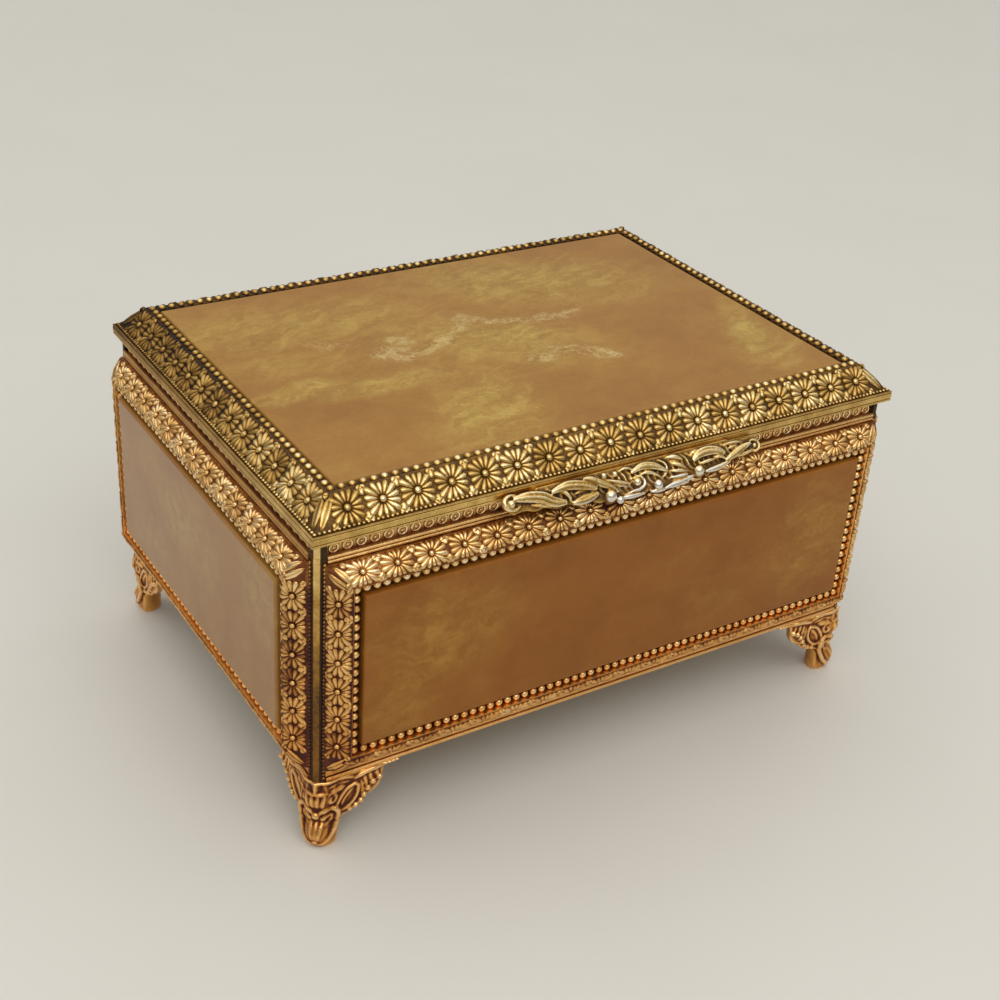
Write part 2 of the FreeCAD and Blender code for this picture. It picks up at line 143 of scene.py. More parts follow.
class Finish:
    """A material, or the room's light, and the nodes that draw it."""

    def __init__(self, name, kind=bpy.data.materials):
        self.material = kind.new(name)
        self.material.use_nodes = True
        self.tree = self.material.node_tree
        self.tree.nodes.clear()

    def node(self, kind, settings=None, sockets=None, out=0):
        """A new node: its settings first, then the values or links of its sockets."""
        node = self.tree.nodes.new("ShaderNode" + kind)
        for name, setting in (settings or {}).items():
            if name == "stops":
                ramp = node.color_ramp.elements
                while len(ramp) < len(setting):
                    ramp.new(0.5)
                for stop, (place, colour) in zip(ramp, setting):
                    stop.position = place
                    stop.color = (*colour, 1)
            else:
                setattr(node, name, setting)
        for name, value in (sockets or {}).items():
            if isinstance(value, Value):
                self.tree.links.new(value.socket, node.inputs[name])
            else:
                node.inputs[name].default_value = value
        return None if out is None else Value(self, node.outputs[out])

    def place(self):
        """Where a point of the piece lies, in millimetres."""
        spot = self.node("TexCoord", out="Object")
        return self.node("VectorMath", {"operation": "SCALE"}, {0: spot, "Scale": 1 / MM})

    def noise(self, where, size, detail=3.0, rough=0.55, out=0):
        """Cloudy noise with grains of about this size in millimetres."""
        sockets = {"Vector": where, "Scale": 1 / size, "Detail": detail, "Roughness": rough}
        return self.node("TexNoise", {}, sockets, out)

    def ramp(self, value, stops):
        return self.node("ValToRGB", {"stops": stops}, {"Fac": value})

    def mix(self, share, first, second, blend="MIX"):
        settings = {"data_type": "RGBA", "blend_type": blend, "clamp_factor": True}
        first, second = ((*c, 1) if isinstance(c, tuple) else c for c in (first, second))
        return self.node("Mix", settings, {0: share, 6: first, 7: second}, 2)

    def bump(self, height, depth):
        """Normal of a surface that rises by depth millimetres where height is 1."""
        return self.node("Bump", {}, {"Strength": 1.0, "Distance": depth * MM, "Height": height})

    def surface(self, **sockets):
        names = {key.replace("_", " ").title().replace("Ior", "IOR"): value for key, value in sockets.items()}
        self.node("OutputMaterial", {}, {"Surface": self.node("BsdfPrincipled", {}, names)}, None)
        return self.material


def tone(red, green, blue):
    """A colour as it looks on a screen, turned into light."""
    return tuple(((c / 255 + 0.055) / 1.055) ** 2.4 for c in (red, green, blue))


# Gilding from its low, brown places to its high, bright ones
GOLD_STEPS = (0.0, 0.22, 0.50, 0.78, 1.0)
LID_GOLD = [(40, 24, 6), (94, 64, 22), (174, 133, 65), (222, 188, 116), (248, 230, 184)]
BODY_GOLD = [(66, 20, 4), (124, 70, 28), (218, 170, 100), (246, 210, 146), (254, 234, 194)]
WARM_TINT, BARE_SILVER = (255, 226, 190), (232, 228, 216)


def gilt(name, tones, relief=None, silver=False):
    """Worn gilding on a casting: bright on the high places, brown in the low ones, redder near the feet, with painted
    shade on the lid's left and far rails and darker patches on a stile and under the thumb piece.
    """
    f = Finish(name)
    where = f.place()
    x, y, z = (f.node("SeparateXYZ", {}, {0: where}, axis) for axis in "XYZ")
    grain = f.noise(where, 0.40, 4.0)
    patch = f.noise(where, 8.0, 3.0)
    scuff = f.noise(where, 1.8, 4.0, 0.65)
    if relief is None:
        relief = f.node("Attribute", {"attribute_name": "relief"}, out="Fac")
    else:
        relief = relief(x, y, z)
    on_lid = z.eased(59.0, 60.0)
    # Painted shade on the lid's left rail, darkest towards its back; the same mask makes it rougher.
    left_rail = x.eased(-45.0, -50.0) * y.eased(-46.0, 22.0) * on_lid
    # Painted shade on the lid's back and right rails.
    far_rails = (y.eased(33.0, 36.0) | x.eased(49.0, 52.0) * y.eased(-36.0, -33.0)) * on_lid
    # Darker on the walls beside the front left post, fading down into the foot.
    left_stile = x.eased(-47.0, -51.0) * y.eased(-33.0, -37.0) * z.eased(52.0, 48.0) * z.eased(-6.0, 22.0)
    # Darker patch on the front wall's top band, under the middle of the thumb piece.
    dark_patch_under_spray = patches(f, where, [((-4.8, -43.0, 53.8), (2.6, 3.0, 1.5), (0, 0, 0), 1.0)])
    # How much the gilding is darkened: painted shade on the lid rails, plain darkening on the stile and under the thumb
    # piece.
    dulling = left_rail * 0.26 + dark_patch_under_spray * 0.5 + left_stile * 0.24 + far_rails * 0.10
    wear = (grain - 0.5) * 0.34 + (patch - 0.5) * 0.50 + (scuff - 0.5) * 0.36
    worn = (relief * 1.04 + wear - dulling).held()
    gold = f.ramp(worn, [(step, tone(*colour)) for step, colour in zip(GOLD_STEPS, tones)])
    red = (z.eased(50.0, 10.0) * 0.75 + (patch - 0.5) * 0.7 + z.eased(59.0, 56.5) * 0.14).held()
    colour = f.mix(red, gold, f.mix(1.0, gold, tone(*WARM_TINT), "MULTIPLY"))
    if silver:
        middle = x.eased(-17.0, -9.0) * x.eased(20.0, 12.0)
        rubbed = (patch + z.eased(58.4, 55.6) * 0.9).eased(0.60, 1.05)
        bare = (worn.eased(0.52, 0.90) * rubbed * middle).held()
        colour = f.mix(bare, colour, tone(*BARE_SILVER))
    return f.surface(
        base_color=colour,
        metallic=(worn * 1.2 + 0.4).held(),
        roughness=(0.50 - worn * 0.26 + (scuff - 0.5) * 0.16 + left_rail * 0.15).held(),
        normal=f.bump(grain * 0.6 + scuff * 0.4, 0.06),
    )


def post_painted_light(x, y, z):
    """Painted light on a post: a painted highlight on its chamfer, darker lower down, and painted shade on its flats.
    """
    aside = abs(abs(x) - abs(y) - (CORE_X - CORE_Y))
    return aside.eased(0.95, 0.6) * (z.eased(26.0, 52.0) * 0.28 + 0.46) + 0.06


def patches(f, where, places):
    """Soft ovals: each has a middle, half sizes, a turn and a strength."""
    found = None
    for middle, halves, turn, strength in places:
        sockets = {"Vector": where, "Location": middle, "Rotation": turn, "Scale": halves}
        inside = f.node("Mapping", {"vector_type": "TEXTURE"}, sockets)
        away = f.node("VectorMath", {"operation": "LENGTH"}, {0: inside}, "Value")
        soft = away.eased(1.45, 0.25) * strength
        found = soft if found is None else found | soft
    return found


def onyx(name, clouds, veins=None, lean=0.0, sheen=0.2, stain_and_shade=(1, 1, 1)):
    """Polished onyx: caramel ground, streaked ochre clouds, pale crackled veins."""
    f = Finish(name)
    where = f.place()

    # Scales the slab's colours: its own tone, and on the front slab painted shade as well.
    def shade(*colour):
        return tone(*(c * s for c, s in zip(colour, stain_and_shade)))

    eddies = f.noise(where, 11.0, 5.0, 0.6, "Color")
    swirl = f.node("VectorMath", {"operation": "SUBTRACT"}, {0: eddies, 1: (0.5, 0.5, 0.5)})
    drift = f.node("VectorMath", {"operation": "SCALE"}, {0: swirl, "Scale": 11.0})
    bent = f.node("VectorMath", {"operation": "ADD"}, {0: where, 1: drift})
    streaked = {"Vector": bent, "Rotation": (0, 0, lean), "Scale": (3.2, 1, 1)}
    drawn = f.node("Mapping", {"vector_type": "TEXTURE"}, streaked)
    haze = f.noise(bent, 12.0, 6.0, 0.62)
    wisp = f.noise(drawn, 2.6, 6.0, 0.68)
    speck = f.noise(where, 0.6, 3.0)
    cloud = patches(f, bent, clouds) * (wisp * 1.3 + haze * 0.7 - 0.22) | haze.eased(0.55, 0.85) * 0.3
    ground = f.ramp(
        haze * 0.75 + wisp * 0.25,
        [(0.28, shade(146, 98, 40)), (0.50, shade(160, 111, 48)), (0.72, shade(170, 122, 56))],
    )
    ochre = f.mix(wisp.eased(0.34, 0.68), shade(166, 126, 56), shade(190, 155, 80))
    colour = f.mix(cloud.held(), ground, ochre)
    fleck = f.noise(where, 0.9, 5.0, 0.75).eased(0.54, 0.76) * cloud.held()
    colour = f.mix(fleck * 0.6, colour, shade(216, 184, 118))
    if veins:
        crackle = f.node("TexVoronoi", {"feature": "DISTANCE_TO_EDGE"}, {"Vector": bent, "Scale": 0.55})
        near = patches(f, bent, veins).eased(0.15, 0.70)
        pale = (near * (crackle.eased(0.13, 0.0) * 0.38 + wisp.eased(0.40, 0.66) * 0.36)).held()
        colour = f.mix(pale, colour, tone(212, 188, 130))
    colour = f.mix((speck - 0.45).held() * 0.45, colour, tone(104, 66, 26))
    polish = (speck * 0.10 + haze * 0.10 + 0.08).held()
    return f.surface(base_color=colour, roughness=polish, normal=f.bump(wisp, 0.010), specular_ior_level=sheen)


def velvet(name):
    """Short wine-red pile with brushed patches."""
    f = Finish(name)
    where = f.place()
    pile = f.noise(where, 0.22, 3.0)
    brushed = f.noise(where, 12.0, 3.0)
    shade = (pile * 0.55 + brushed * 0.55 - 0.05).held()
    deep, wine, bright = (0.075, 0.006, 0.012), (0.185, 0.016, 0.030), (0.330, 0.040, 0.062)
    return f.surface(
        base_color=f.ramp(shade, [(0.25, deep), (0.55, wine), (0.85, bright)]),
        roughness=(pile * 0.15 + 0.80).held(),
        normal=f.bump(pile, 0.10),
        sheen_weight=0.6,
        sheen_roughness=0.4,
        sheen_tint=(0.9, 0.35, 0.40, 1),
    )


def plain_metal(name, dark, mid, light, rough):
    """Drawn metal of hinges and screws, with handling marks."""
    f = Finish(name)
    where = f.place()
    grain = f.noise(where, 0.5, 3.0)
    # Tarnish in patches: darker and rougher.
    dulling = f.noise(where, 3.5, 4.0)
    shade = (grain * 0.4 + dulling * 0.7 - 0.05).held()
    return f.surface(
        base_color=f.ramp(shade, [(0.2, dark), (0.5, mid), (0.8, light)]),
        metallic=1.0,
        roughness=(dulling * 0.25 + rough).held(),
        normal=f.bump(grain, 0.02),
    )


LID_GILT = gilt("lid_gilding", LID_GOLD)
BODY_GILT = gilt("wall_gilding", BODY_GOLD)
# The posts' gilding takes painted light: a highlight on the chamfers and shade on the flats.
POST_GILT = gilt("post_gilding", LID_GOLD, relief=post_painted_light)
SPRAY_GILT = gilt("spray_gilding", LID_GOLD, silver=True)
VELVET = velvet("wine_velvet")
BRASS = plain_metal("drawn_brass", (0.24, 0.13, 0.035), (0.52, 0.34, 0.12), (0.74, 0.54, 0.24), 0.22)
STEEL = plain_metal("hinge_steel", (0.22, 0.21, 0.20), (0.42, 0.41, 0.40), (0.62, 0.61, 0.60), 0.18)


def shell(points, faces, spots):
    """A closed shell with its faces turned outward and its spots on the bake map. Its relief is its height."""
    points = np.array(points, float)
    volume = 0.0
    for face in faces:
        for second, third in zip(face[1:], face[2:]):
            volume += np.dot(points[face[0]], np.cross(points[second], points[third]))
    if volume < 0:
        faces = [face[::-1] for face in faces]
        spots = [spot[::-1] for spot in spots]
    spots = np.array([corner for spot in spots for corner in spot])
    return SimpleNamespace(points=points, faces=faces, spots=spots, relief=np.clip(0.10 + 0.88 * points[:, 2], 0, 1))


def turns(count):
    return np.linspace(0, 2 * math.pi, count, endpoint=False)


def circle(count, middle, radius):
    return [(middle[0] + radius * math.cos(t), middle[1] + radius * math.sin(t)) for t in turns(count)]


def quad(around, i, m, j, k):
    """A face between rings i and m, from place j to place k."""
    return (i * around + j, i * around + k, m * around + k, m * around + j)


def tube(rings, endless=False):
    """Shell through rings with equal counts of points: capped, or joined end to end."""
    rings = np.array(rings, float)
    steps, around = rings.shape[:2]
    last = steps if endless else steps - 1
    faces, spots = [], []
    for i, j in product(range(last), range(around)):
        near, far = 0.1 + 0.8 * i / last, 0.1 + 0.8 * (i + 1) / last
        low, high = j / around, (j + 1) / around
        faces.append(quad(around, i, (i + 1) % steps, j, (j + 1) % around))
        spots.append([(near, low), (near, high), (far, high), (far, low)])
    if not endless:
        faces += [tuple(reversed(range(around))), tuple(range((steps - 1) * around, steps * around))]
        spots += [circle(around, (0.04, 0.5), 0.03), circle(around, (0.96, 0.5), 0.03)]
    return shell(rings.reshape(-1, 3), faces, spots)


def dome(around, levels):
    """Round bead: rings of radius and height, then a crown at height 1."""
    points = [(*spot, height) for radius, height in levels for spot in circle(around, (0, 0), radius)]
    points.append((0, 0, 1))
    last = len(levels) - 1
    rings = [circle(around, (0.5, 0.5), 0.46 * (1 - i / len(levels))) for i in range(len(levels))]
    faces, spots = [], []
    for i, j in product(range(last), range(around)):
        k = (j + 1) % around
        faces.append(quad(around, i, i + 1, j, k))
        spots.append([rings[i][j], rings[i][k], rings[i + 1][k], rings[i + 1][j]])
    for j in range(around):
        k = (j + 1) % around
        faces.append((last * around + j, last * around + k, len(points) - 1))
        spots.append([rings[-1][j], rings[-1][k], (0.5, 0.5)])
    faces.append(tuple(reversed(range(around))))
    spots.append(circle(around, (0.04, 0.04), 0.03)[::-1])
    return shell(points, faces, spots)


def blade(section, stations):
    """Petal or leaf of length, half width and height 1, from a section and its swelling along the length."""
    rings = []
    for along, width, height in stations:
        rings.append([(along, y * width, z * height if z > 0 else z) for y, z in section])
    return tube(rings)


def hoop(thick):
    """Ring of radius 1 and height 1 on its side."""
    rings = []
    for t in turns(14):
        out = [(1 + thick * math.cos(p), math.sin(p)) for p in turns(6)]
        rings.append([(math.cos(t) * r, math.sin(t) * r, z) for r, z in out])
    return tube(rings, endless=True)


ROUND = [(-1, -0.5), (-0.82, 0.5), (0, 1), (0.82, 0.5), (1, -0.5)]
CREASED = [(-1, -0.5), (-0.85, 0.55), (-0.45, 0.95), (0, 0.35), (0.45, 0.95), (0.85, 0.55), (1, -0.5)]
PETAL = blade(
    ROUND, [(0, 0.3, 0.4), (0.18, 0.5, 0.8), (0.5, 0.82, 1), (0.8, 1, 0.9), (0.95, 0.66, 0.6), (1, 0.25, 0.2)]
)
LEAF = blade(CREASED, [(0, 0.3, 0.4), (0.3, 0.9, 0.9), (0.6, 1, 1), (0.86, 0.62, 0.8), (1, 0.1, 0.3)])
PEARL = dome(10, [(0.86, -0.5), (1, 0.0), (0.87, 0.5), (0.5, 0.86)])
SEED = dome(8, [(0.8, -0.6), (1, 0.0), (0.71, 0.71)])
HOOP = hoop(0.34)


class Face:
    """A face of the box: its axes along, up and out of it, the half sizes of its window and half its length."""

    def __init__(self, origin, a, b, n, half_a=0.0, half_b=0.0, run=0.0):
        self.origin = origin
        self.a, self.b, self.n = a, b, n
        self.half_a, self.half_b, self.run = half_a, half_b, run

    def place(self, a, b, up):
        return self.origin + np.outer(a, self.a) + np.outer(b, self.b) + np.outer(up, self.n)


def upright_face(outward, half_x, half_y, height=0.0):
    """One side of a box with these half sizes, seen from outside, from this height up."""
    n = np.array(outward, float)
    origin = n * (half_x, half_y, 0) + (0, 0, height)
    return Face(origin, np.cross((0, 0, 1), n), np.array([0, 0, 1.0]), n, run=half_y if n[0] else half_x)


class Rail:
    """One rail of a framed face. Along, out from the window and up from the face become a place on the box."""

    def __init__(self, face, side):
        self.face = face
        self.side = side
        self.half = face.half_a if side in ("top", "bottom") else face.half_b

    def place(self, along, out, up):
        wide, high = self.face.half_a + out, self.face.half_b + out
        spots = {"top": (along, high), "bottom": (-along, -high), "right": (wide, -along), "left": (-wide, along)}
        return self.face.place(*spots[self.side], up)


class Band:
    """Strip of ornament on a rail, over a path of out and up. Points are along, across the strip and proud of it."""

    def __init__(self, rail, path):
        self.rail = rail
        self.path = np.array(path, float)
        steps = np.diff(self.path, axis=0)
        lengths = np.hypot(*steps.T)
        self.across = np.concatenate([[0], np.cumsum(lengths)])
        self.width = self.across[-1]
        slopes = np.stack([-steps[:, 1], steps[:, 0]], 1) / lengths[:, None]
        self.normals = (np.concatenate([slopes[:1], slopes]) + np.concatenate([slopes, slopes[-1:]])) / 2

    def place(self, points):
        along, across, proud = points.T
        inside = np.clip(across, 0, self.width)
        out, up = (np.interp(inside, self.across, self.path[:, i]) for i in (0, 1))
        tilt_out, tilt_up = (np.interp(inside, self.across, self.normals[:, i]) for i in (0, 1))
        size = np.hypot(tilt_out, tilt_up)
        return self.rail.place(along, out + proud * tilt_out / size, up + proud * tilt_up / size)

    def mitre(self, across):
        """How far along the rail its mitred end lies, at a place across the strip."""
        return self.rail.half + float(np.interp(across, self.across, self.path[:, 0]))


class Casting:
    """Raised shells gathered into one mesh, each with a cell of its own on the bake map."""

    def __init__(self):
        self.points, self.faces, self.spots, self.relief = [], [], [], []
        self.count = 0
        self.wear = 1.0

    def set(self, form, band, at, turn, size):
        """One shell laid on a band: its place, turn and size."""
        x, y, z = (form.points * size).T
        cos, sin = math.cos(turn), math.sin(turn)
        points = band.place(np.stack([at[0] + x * cos - y * sin, at[1] + x * sin + y * cos, z], 1))
        self.points.append(points)
        self.faces += [tuple(i + self.count for i in face) for face in form.faces]
        self.spots.append(form.spots)
        self.relief.append(np.clip(form.relief * self.wear * rng.uniform(0.82, 1.18), 0, 1))
        self.count += len(points)

    def piece(self, name):
        side = math.ceil(math.sqrt(len(self.spots)))
        cells = []
        for k, spots in enumerate(self.spots):
            cells.append((np.array([k % side, k // side]) + 0.06 + 0.88 * spots) / side)
        return make(name, np.concatenate(self.points), self.faces, np.concatenate(self.relief), np.concatenate(cells))


class Body:
    """Plain mouldings and plates of a casting."""

    def __init__(self):
        self.points, self.faces, self.relief = [], [], []

    def add(self, points, faces, relief):
        first = len(self.points)
        self.points += [tuple(p) for p in points]
        self.faces += [tuple(i + first for i in face) for face in faces]
        self.relief += list(relief)

    def ring(self, face, path):
        """Mitred moulding round a window: a closed path of out, up and relief."""
        out, up, relief = np.array(path, float).T
        rows = len(path)
        points = []
        for a, b in ((-1, -1), (1, -1), (1, 1), (-1, 1)):
            points.append(face.place(a * (face.half_a + out), b * (face.half_b + out), up))
        faces = []
        for c, r in product(range(4), range(rows)):
            d, s = (c + 1) % 4, (r + 1) % rows
            faces.append((c * rows + r, d * rows + r, d * rows + s, c * rows + s))
        self.add(np.concatenate(points), faces, list(relief) * 4)

    def prism(self, points, relief):
        """Bar between two equal sections, the points of one after those of the other."""
        rows = len(points) // 2
        faces = [(r, (r + 1) % rows, rows + (r + 1) % rows, rows + r) for r in range(rows)]
        self.add(points, faces + [tuple(range(rows)), tuple(range(rows, 2 * rows))], relief)

    def bar(self, face, section, start, end, mitred=(False, False)):
        """Straight moulding along a face: a closed section of height, up and relief."""
        b, up, relief = np.array(section, float).T
        points = []
        for a in (start - mitred[0] * up, end + mitred[1] * up):
            points.append(face.place(a, b, up))
        self.prism(np.concatenate(points), list(relief) * 2)

    def notched_bar(self, face, section, notches):
        """Bar from mitre to mitre that leaves out the notches."""
        stops = [-face.run] + [x for notch in notches for x in notch] + [face.run]
        for start, end in zip(stops[::2], stops[1::2]):
            self.bar(face, section, start, end, (start == -face.run, end == face.run))

    def piece(self, name):
        piece = make(name, np.array(self.points), self.faces, self.relief)
        work = bmesh.new()
        work.from_mesh(piece.data)
        bmesh.ops.recalc_face_normals(work, faces=work.faces)
        work.to_mesh(piece.data)
        work.free()
        piece.data.set_sharp_from_angle(angle=math.radians(35))
        return piece


def make(name, points, faces, relief=None, spots=None):
    """A mesh object from points in millimetres."""
    mesh = bpy.data.meshes.new(name)
    mesh.from_pydata((np.asarray(points) * MM).tolist(), [], faces)
    if relief is not None:
        layer = mesh.attributes.new("relief", "FLOAT", "POINT")
        layer.data.foreach_set("value", np.asarray(relief, np.float32))
    if spots is not None:
        layer = mesh.uv_layers.new(name="OFBake")
        layer.uv.foreach_set("vector", np.asarray(spots, np.float32).ravel())
    mesh.shade_smooth()
    piece = bpy.data.objects.new(name, mesh)
    bpy.context.scene.collection.objects.link(piece)
    return piece


def dress(piece, body, slot, finish, *replaced):
    """Gives a piece its finish, the body it rides on and the nodes that it stands for."""
    piece.data.materials.append(finish)
    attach(piece, body)
    if replaced:
        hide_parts(*replaced)
    return piece


def half_round(middle, radius, relief):
    """Section of a half-round fillet on a face, from its low to its high edge."""
    rows = []
    for t in np.linspace(-math.pi / 2, math.pi / 2, 6):
        rows.append((middle + radius * math.sin(t), radius * math.cos(t), relief if math.cos(t) > 0.3 else 0.2))
    return rows


def daisy(casting, band, at, reach_along, reach_across):
    """Flower of close petals that fills a squarish field, round a pearl."""
    start = PEARL_SHARE * min(reach_along, reach_across)
    turn = rng.uniform(-0.05, 0.05)
    casting.wear = rng.uniform(0.74, 1.12)
    for k in range(PETALS):
        angle = turn + 2 * math.pi * (k + 0.5) / PETALS
        sides = abs(math.cos(angle)) / reach_along, abs(math.sin(angle)) / reach_across
        reach = (sides[0] ** SQUARENESS + sides[1] ** SQUARENESS) ** (-1 / SQUARENESS) * rng.uniform(0.95, 1.03)
        width = PETAL_CROWDING * 2 * math.pi * reach / PETALS
        foot = (at[0] + start * math.cos(angle), at[1] + start * math.sin(angle))
        casting.set(PETAL, band, foot, angle, (reach - start, width, PETAL_HEIGHT * rng.uniform(0.8, 1.1)))
    casting.wear = 1.0
    casting.set(SEED, band, at, 0.0, (start * 0.95, start * 0.95, PEARL_HEIGHT))


def flower_band(casting, band, trim, inset, spacing):
    """Flowers along a rail, leaves in their corners, tongues in the gaps and a long leaf beside each mitre."""
    reach = band.rail.half - inset
    count = round(2 * reach / spacing) + 1
    pitch = 2 * reach / (count - 1)
    spread = pitch / 2 - trim.leaf_at[0], band.width / 2 - trim.leaf_at[1]
    for k in range(count):
        spot = (-reach + k * pitch, band.width * 0.5)
        daisy(casting, band, spot, pitch / 2 - FLOWER_GAP, band.width / 2 - trim.edge)
        for along, across in CORNERS:
            foot = (spot[0] + along * spread[0], spot[1] + across * spread[1])
            turn = math.atan2(across * spread[1], along * spread[0])
            casting.set(LEAF, band, foot, turn, (LEAF_LENGTH, trim.leaf, LEAF_HEIGHT * rng.uniform(0.85, 1.1)))
        if k:
            for across, turn in ((0.1, math.pi / 2), (band.width - 0.1, -math.pi / 2)):
                size = (trim.tongue, TONGUE_WIDTH, LEAF_HEIGHT * rng.uniform(0.85, 1.1))
                casting.set(PETAL, band, (spot[0] - pitch / 2, across), turn, size)
    low, high = 0.25, band.width - 0.35
    rise, run = high - low, band.mitre(high) - band.mitre(low)
    for side in (-1, 1):
        foot = (side * (band.mitre(low) - trim.mitre_gap), low)
        casting.set(LEAF, band, foot, math.atan2(rise, side * run), (math.hypot(rise, run), trim.mitre_leaf, 0.38))


def flat_strip(rail, out, up):
    """Level band on a rail. Its middle line lies STRIP across it."""
    return Band(rail, [(out - STRIP, up), (out + STRIP, up)])


def pearl_row(casting, rail, form, out, up, radius, pitch):
    """Row of beads along a rail, the corner bead at one end only."""
    half = rail.half + out
    count = round(2 * half / pitch)
    band = flat_strip(rail, out, up)
    for k in range(count):
        tall = radius * rng.uniform(0.93, 1.04)
        casting.set(form, band, (-half + 2 * half * k / count, STRIP), 0.0, (radius, radius, tall))


def wall_swell():
    """Path of a wall's sloped moulding, from its bead row to its outer edge."""
    stages = [(0.0, 0.0), (0.2, 0.38), (0.5, 0.72), (1.0, 1.0)]
    fit = np.polyfit(*zip(*stages), 3)
    path = []
    for share in np.linspace(1, 0, 9):
        rise = float(np.clip(np.polyval(fit, share), 0, 1))
        path.append((BAND_EDGE - share * (BAND_EDGE - BEAD), SIDE_STEP + rise * (BAND_CREST - SIDE_STEP)))
    return path


def wall_body(face, notches):
    """Plate, moulding, fillets and neck of one wall."""
    body = Body()
    ring = [(0, -0.4, 0.0), (0, BEAD_SEAT - 0.3, 0.05), (0.15, BEAD_SEAT, 0.25)]
    ring += [(BEAD - 0.3, BEAD_SEAT, 0.18), (BEAD - 0.22, BAND_CREST - 0.12, 0.7)]
    ring += [(out, up, 0.20) for out, up in wall_swell()[:-1]]
    ring += [(BAND_EDGE - 0.05, SIDE_STEP + 0.25, 0.2), (BAND_EDGE, SIDE_STEP, 0.3), (BAND_EDGE, -0.4, 0.1)]
    body.ring(face, ring)
    upright = upright_face(face.n, CORE_X, CORE_Y)
    plate = [(FOOT_TOP, -WALL_BACK, 0.3)]
    plate += half_round(FOOT_TOP + BASE_FILLET, BASE_FILLET, 0.75)
    plate += [(FOOT_TOP + 0.95, 0, 0.72), (WALL_FILLETS[0] - 0.4, 0, 0.3)]
    for height in WALL_FILLETS:
        plate += half_round(height, FILLET, 0.62)
    plate += [(PLATE_TOP, -0.05, 0.2), (PLATE_TOP, -WALL_BACK, 0.2)]
    body.bar(upright, plate, -face.run + POST_END, face.run - POST_END)
    neck = [(NECK_BASE - 0.2, -WALL_BACK, 0.2), (NECK_BASE - 0.2, -NECK_SETBACK, 0.5)]
    neck += [(NECK_TOP - 0.4, -NECK_SETBACK, 0.5), (NECK_TOP - 0.3, -NECK_SETBACK + 0.08, 0.6)]
    neck += [(NECK_TOP, -NECK_SETBACK + 0.08, 0.6), (NECK_TOP, -WALL_BACK, 0.3)]
    body.notched_bar(upright, neck, notches)
    return body


def wall_ornament(face, notches):
    """Flowers, leaves, beads and hoops of one wall."""
    casting = Casting()
    for side in RAILS:
        rail = Rail(face, side)
        inset, spacing = (0.3, 5.84) if side in ("top", "bottom") else (1.1, 5.4)
        flower_band(casting, Band(rail, wall_swell()), WALL_BAND, inset, spacing)
        pearl_row(casting, rail, PEARL, BEAD_LINE, BEAD_SEAT + 0.22, radius=0.74, pitch=1.70)
    neck = flat_strip(Rail(upright_face(face.n, CORE_X, CORE_Y, NECK_BASE + HOOP_LINE), "top"), 0, -NECK_SETBACK)
    count = int(2 * (face.run - HOOP_END) / HOOP_PITCH)
    for k in range(count + 1):
        along = (k - count / 2) * HOOP_PITCH
        if not any(start - HOOP_CLEAR < along < end + HOOP_CLEAR for start, end in notches):
            casting.set(HOOP, neck, (along, STRIP), 0.0, HOOP_SIZE)
            casting.set(SEED, neck, (along, STRIP), 0.0, HOOP_SEED)
    return casting


def walls():
    """Four framed walls, each a casting and its ornament."""
    for side, (outward, notches) in SIDES.items():
        face = upright_face(outward, CORE_X, CORE_Y, WINDOW_MID)
        face.half_a = face.run - POST_END - SIDE_MOULDING
        face.half_b = (WINDOW_HIGH - WINDOW_LOW) / 2
        node = side + "_frame"
        dress(wall_body(face, notches).piece(node + "_casting"), "box", "gilt_casting", BODY_GILT, node)
        dress(wall_ornament(face, notches).piece(node + "_ornament"), "box", "gilt_casting", BODY_GILT)


